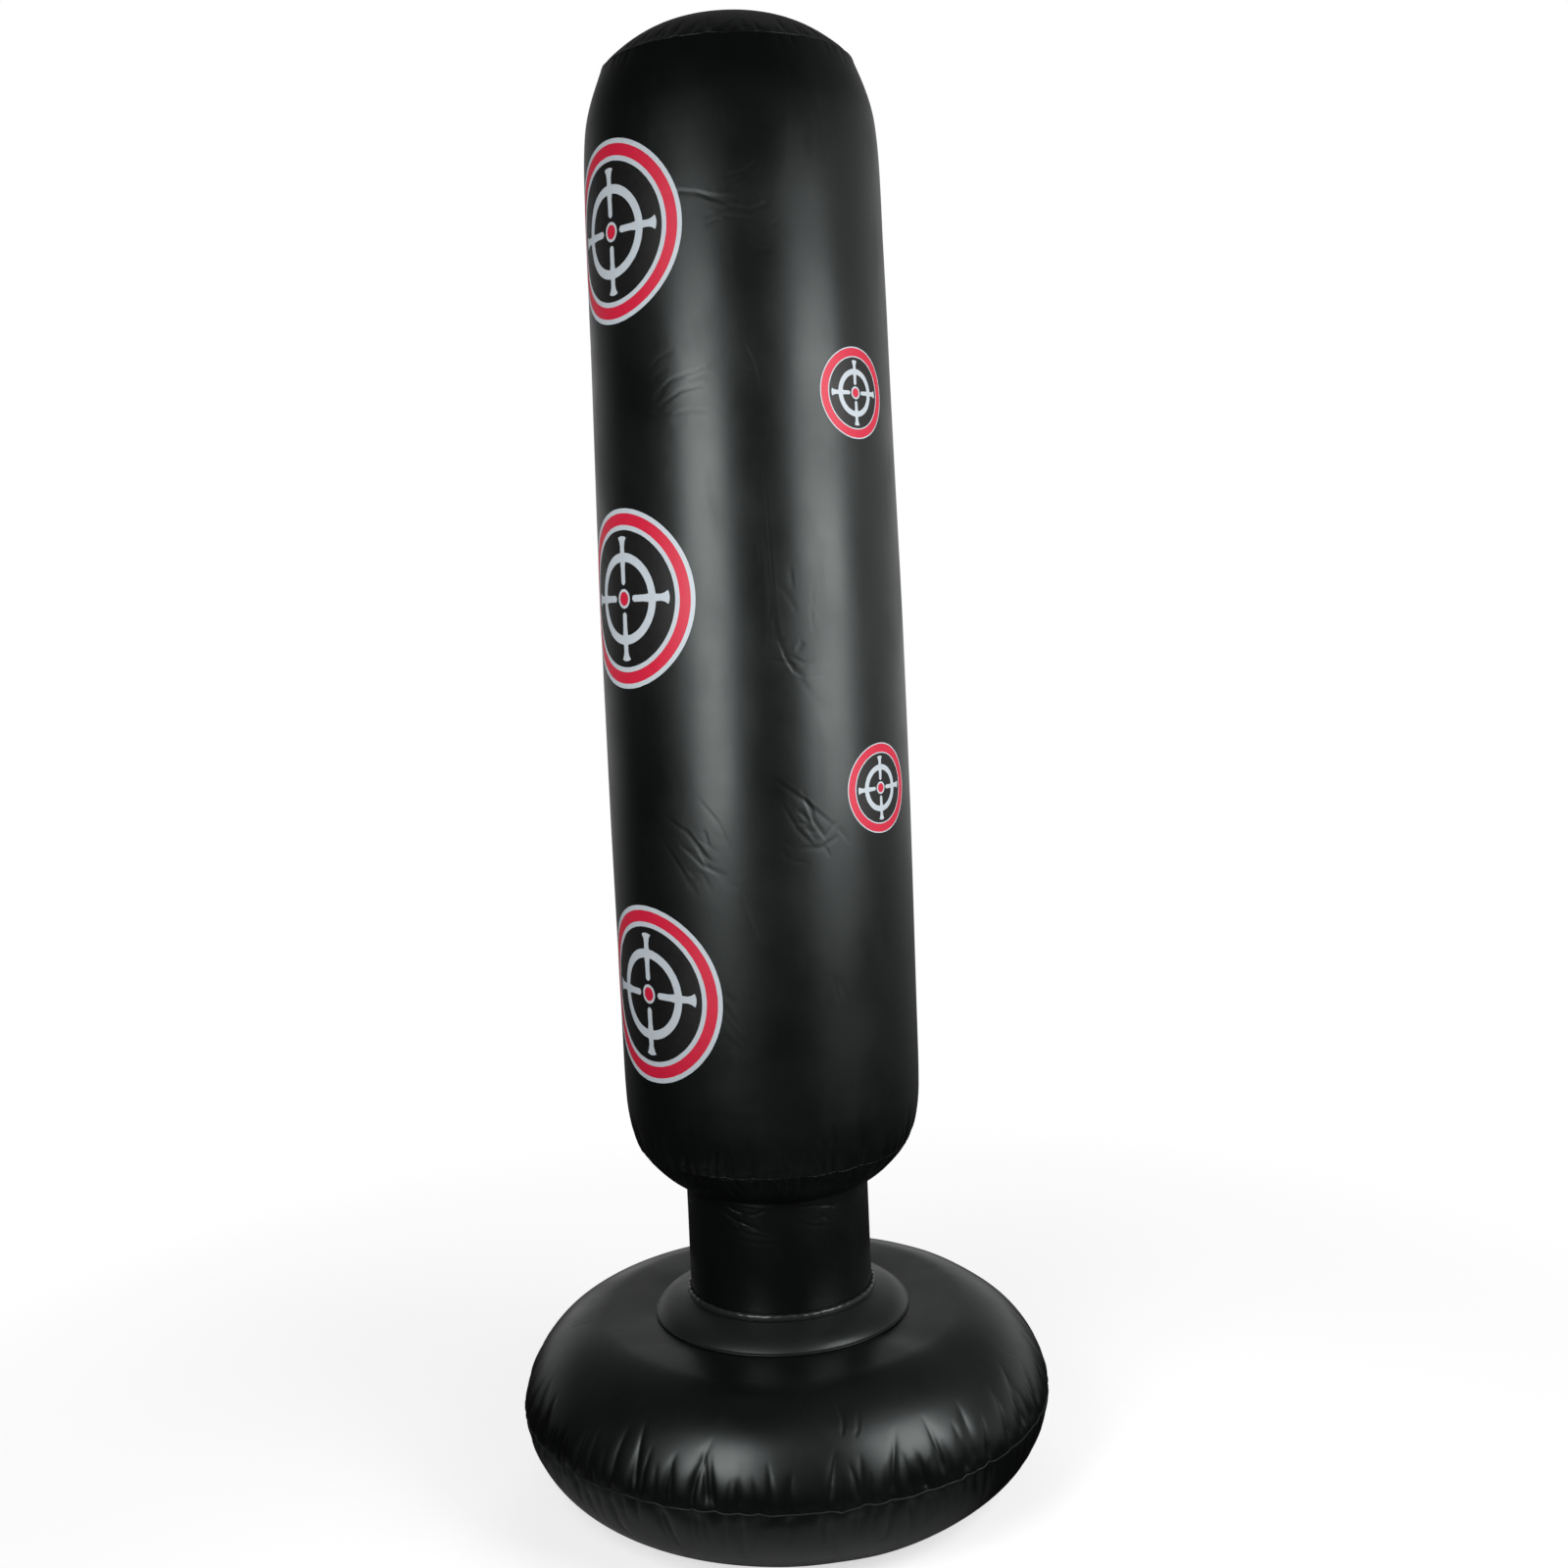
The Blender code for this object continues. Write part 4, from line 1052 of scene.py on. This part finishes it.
def feed(tree, made, inputs):
    """Sets a node's inputs, each to a value or to another node's output."""
    for name, value in inputs.items():
        if isinstance(value, bpy.types.NodeSocket):
            tree.links.new(value, made.inputs[name])
        else:
            made.inputs[name].default_value = value


def node(tree, kind, inputs, output=0, operation=None):
    """Adds a node and gives back one of its outputs."""
    made = tree.nodes.new("ShaderNode" + kind)
    if operation:
        made.operation = operation
    feed(tree, made, inputs)
    return made.outputs[output]


def noise(tree, scale, detail, stretch=None):
    """Noise on the piece's own coordinates."""
    place = node(tree, "TexCoord", {}, "Object")
    if stretch:
        place = node(tree, "Mapping", {"Vector": place, "Scale": stretch})
    return node(tree, "TexNoise", {"Vector": place, "Scale": scale, "Detail": detail}, "Fac")


def ranged(tree, value, low, high, start, end, ease="LINEAR"):
    """The value's range from start to end mapped to low to high."""
    inputs = {"Value": value, "From Min": start, "From Max": end, "To Min": low, "To Max": high}
    mapped = node(tree, "MapRange", inputs, "Result")
    mapped.node.interpolation_type = ease
    return mapped


def material(name, colour, spread, rough, drift, *bumps):
    """A material whose colour and roughness drift with a noise, under bumps that lie on one another.

    spread is how far the colour drifts, rough the lowest and highest roughness. A noise is its scale,
    detail and stretch, and a bump its noise, strength and distance."""
    made = bpy.data.materials.new(name)
    made.use_nodes = True
    tree = made.node_tree
    shader = tree.nodes["Principled BSDF"]
    drift = noise(tree, *drift)
    low, high = ([min(c * (1 + change), 1.0) for c in colour] for change in (-spread, spread))
    look = {"Base Color": node(tree, "MixRGB", {"Fac": drift, "Color1": (*low, 1.0), "Color2": (*high, 1.0)})}
    if rough:
        look["Roughness"] = ranged(tree, drift, *rough, 0.3, 0.7)
    under = {}
    for texture, strength, distance in bumps:
        inputs = {"Height": noise(tree, *texture), "Strength": strength, "Distance": distance}
        under = {"Normal": node(tree, "Bump", inputs | under, "Normal")}
    feed(tree, shader, look | under)
    return made, tree, shader


def film_material(name, colour, roughness, waviness=0.12):
    """Soft sheet: uneven sheen, a fine grain, faint waviness and a few rubbed marks."""
    bumps = ((24.0, 3.0), waviness, 0.0015), ((900.0, 2.0), 0.05, 0.0004)
    sheen = roughness - 0.06, roughness + 0.06
    made, tree, shader = material(name, colour, 0.16, sheen, (11.0, 4.0), *bumps)
    marks = ranged(tree, noise(tree, 46.0, 6.0, (1.0, 1.0, 0.25)), 0.0, 0.06, 0.55, 0.8)
    plain = shader.inputs["Roughness"].links[0].from_socket
    rough = node(tree, "Math", {0: plain, 1: marks}, operation="ADD")
    feed(tree, shader, {"Roughness": rough, "Specular Tint": FILM_SHEEN})
    return made


def ink_material(name, colour):
    """Screen-printed ink: even colour with a slight mottle and pinholes of sheen."""
    return material(name, colour, 0.08, (0.45, 0.55), (160.0, 5.0), ((700.0, 2.0), 0.05, 0.0003))[0]


def moulded_material(name, colour, roughness, pits):
    """Moulded soft plastic or rubber: faint flow marks and fine pits."""
    flow = (120.0, 4.0, (1.0, 1.0, 2.5))
    rough = roughness - 0.06, roughness + 0.08
    return material(name, colour, 0.12, rough, flow, (flow, 0.10, 0.0003), ((1600.0, 2.0), pits, 0.0002))[0]


def water_material():
    ripples = (18.0, 3.0)
    made, tree, shader = material("water_look", (0.55, 0.68, 0.72), 0.06, None, ripples, (ripples, 0.1, 0.002))
    feed(tree, shader, {"Roughness": 0.03, "IOR": 1.333, "Transmission Weight": 0.9})
    return made


# Floor, lights and camera

FLOOR_RADIUS = 12.0
# Opposite to BEHIND lies the floor's painted pool of light
BEHIND = (0.30, 0.954, 0.0)  # the way the floor's glow lies, away from the camera and to its right
ROOM_SIDE = (0.42, 0.907, 0.0)  # the bright side of the room


def make_floor():
    """A pale floor that meets the background without a horizon, for the camera.

    The object mirrors a plainer one: a pale patch under and just in front of its base, a painted pool of light where
    lamps would light the floor, on a dark floor that glows behind it."""
    disc = ring_at(FLOOR_RADIUS, -0.0005, around(128))
    floor = mesh_object("floor", disc, [list(range(128))])
    made = bpy.data.materials.new("floor_look")
    made.use_nodes = True
    tree = made.node_tree
    tree.nodes.remove(tree.nodes["Principled BSDF"])
    place = node(tree, "TexCoord", {}, "Object")
    far = node(tree, "VectorMath", {0: place}, "Value", "LENGTH")
    way = node(tree, "VectorMath", {0: place}, "Vector", "NORMALIZE")
    behind = node(tree, "VectorMath", {0: way, 1: BEHIND}, "Value", "DOT_PRODUCT")

    def diffuse(value):
        return node(tree, "BsdfDiffuse", {"Color": grey(value)})

    def glow(strength):
        return node(tree, "Emission", {"Strength": strength})

    def both(first, second):
        return node(tree, "AddShader", {0: first, 1: second})

    def mixed(share, first, second):
        return node(tree, "MixShader", {"Fac": share, 1: first, 2: second})

    seen = mixed(ranged(tree, far, 0.0, 1.0, 0.28, 1.20), both(diffuse(0.55), glow(0.66)), glow(1.0))
    strength = ranged(tree, behind, 0.0, 0.70, 0.05, 0.80), ranged(tree, far, 0.0, 1.0, 0.60, 8.0)
    sweep = both(diffuse(0.015), glow(node(tree, "Math", dict(enumerate(strength)), operation="MULTIPLY")))
    # Painted light: aside is the share away from the pale diffuse patch under and in front of the base, a painted pool
    # of light on the floor; beyond it the floor is dark and glows
    aside = ranged(tree, far, 0.0, 1.0, 0.29, 0.46), ranged(tree, behind, 0.0, 1.0, -0.85, -0.25)
    lit = mixed(node(tree, "Math", dict(enumerate(aside)), operation="MAXIMUM"), diffuse(0.52), sweep)
    look = mixed(node(tree, "LightPath", {}, "Is Camera Ray"), lit, seen)
    feed(tree, tree.nodes["Material Output"], {"Surface": look})
    floor.data.materials.append(made)


def make_world(scene):
    """White to the camera; to the object, a dark room with one softly lit side."""
    world = scene.world = bpy.data.worlds.new("studio")
    world.use_nodes = True
    tree = world.node_tree
    way = node(tree, "TexCoord", {}, "Generated")
    facing = node(tree, "VectorMath", {0: way, 1: ROOM_SIDE}, "Value", "DOT_PRODUCT")
    side = ranged(tree, facing, 0.0, 0.66, -0.20, 0.75, "SMOOTHSTEP")
    rise = node(tree, "SeparateXYZ", {"Vector": way}, "Z")
    low = ranged(tree, rise, 1.0, 0.17, 0.04, 0.55, "SMOOTHSTEP")
    strength = node(tree, "Math", {0: side, 1: low, 2: 0.010}, operation="MULTIPLY_ADD")
    room = tree.nodes["Background"]
    feed(tree, room, {"Color": grey(1.0), "Strength": strength})
    seen = node(tree, "Background", {"Color": grey(1.0), "Strength": 1.0})
    path = node(tree, "LightPath", {}, "Is Camera Ray")
    look = node(tree, "MixShader", {"Fac": path, 1: room.outputs["Background"], 2: seen})
    feed(tree, tree.nodes["World Output"], {"Surface": look})


def softbox(name, azimuth, distance, height, size, brightness):
    """A rectangular light that faces the column from an angle measured from the front."""
    data = bpy.data.lights.new(name, "AREA")
    data.shape = "RECTANGLE"
    data.size, data.size_y = size
    data.energy = brightness * math.pi * size[0] * size[1]
    light = bpy.data.objects.new(name, data)
    light.visible_camera = False
    bpy.context.scene.collection.objects.link(light)
    turn = math.radians(azimuth)
    light.location = (distance * math.sin(turn), -distance * math.cos(turn), height)
    aim = Vector((0.0, 0.0, 0.85)) - light.location
    light.rotation_euler = aim.to_track_quat("-Z", "Y").to_euler()
    return light


def make_set():
    scene = bpy.context.scene
    scene.view_settings.view_transform = "Standard"
    make_floor()
    make_world(scene)
    softbox("key_light", -30.0, 1.15, 0.98, (0.54, 0.88), 7.3)
    softbox("fill_light", 54.0, 1.16, 0.98, (0.70, 0.88), 6.5)
    # Lights the prints on the back; its own reflection would show as a hard edge along the film
    softbox("back_light", 180, 2.2, 1.3, (1.4, 1.4), 2.0).visible_glossy = False

    data = bpy.data.cameras.new("camera")
    camera = bpy.data.objects.new("camera", data)
    scene.collection.objects.link(camera)
    data.lens = 40.09
    data.sensor_width = 36.0
    data.shift_x = 0.0188
    data.shift_y = -0.063
    # The roll gives the photograph's lean: the part itself stands upright
    look = Euler((math.radians(87.0), 0.0, 0.0)).to_matrix() @ Matrix.Rotation(-math.radians(2.60), 3, "Z")
    camera.matrix_world = Matrix.Translation((0.0, -1.8311, 0.9303)) @ look.to_4x4()
    scene.camera = camera


def main():
    wall = Wall()
    pvc = film_material("pvc_film_look", (0.0032, 0.0034, 0.0036), 0.365)
    base_pvc = film_material("pvc_base_look", (0.0032, 0.0034, 0.0036), 0.34)
    neck_pvc = film_material("pvc_neck_look", (0.0036, 0.0038, 0.0040), 0.32, 0.16)
    seam_pvc = film_material("pvc_seam_look", (0.008, 0.0083, 0.0086), 0.55)
    collar_pvc = film_material("pvc_collar_look", (0.009, 0.0093, 0.0096), 0.39)
    bead = film_material("weld_bead_look", (0.020, 0.0205, 0.021), 0.26, 0.3)
    plastic = moulded_material("valve_plastic_look", (0.028, 0.029, 0.031), 0.34, 0.05), "valve_plastic"
    rubber = moulded_material("valve_rubber_look", (0.045, 0.045, 0.047), 0.62, 0.12), "valve_rubber"
    make_column(wall, pvc, seam_pvc)
    make_base(base_pvc, seam_pvc, collar_pvc, bead)
    make_neck(neck_pvc)
    inks = {"black": (0.0040, 0.0040, 0.0043), "red": (0.66, 0.012, 0.048), "light": (0.57, 0.63, 0.68)}
    make_prints(wall, {ink: ink_material(f"print_{ink}_look", colour) for ink, colour in inks.items()})
    make_air_valve(plastic, rubber)
    make_fill_valve(plastic, rubber)
    make_inside(pvc, water_material())
    make_set()


main()
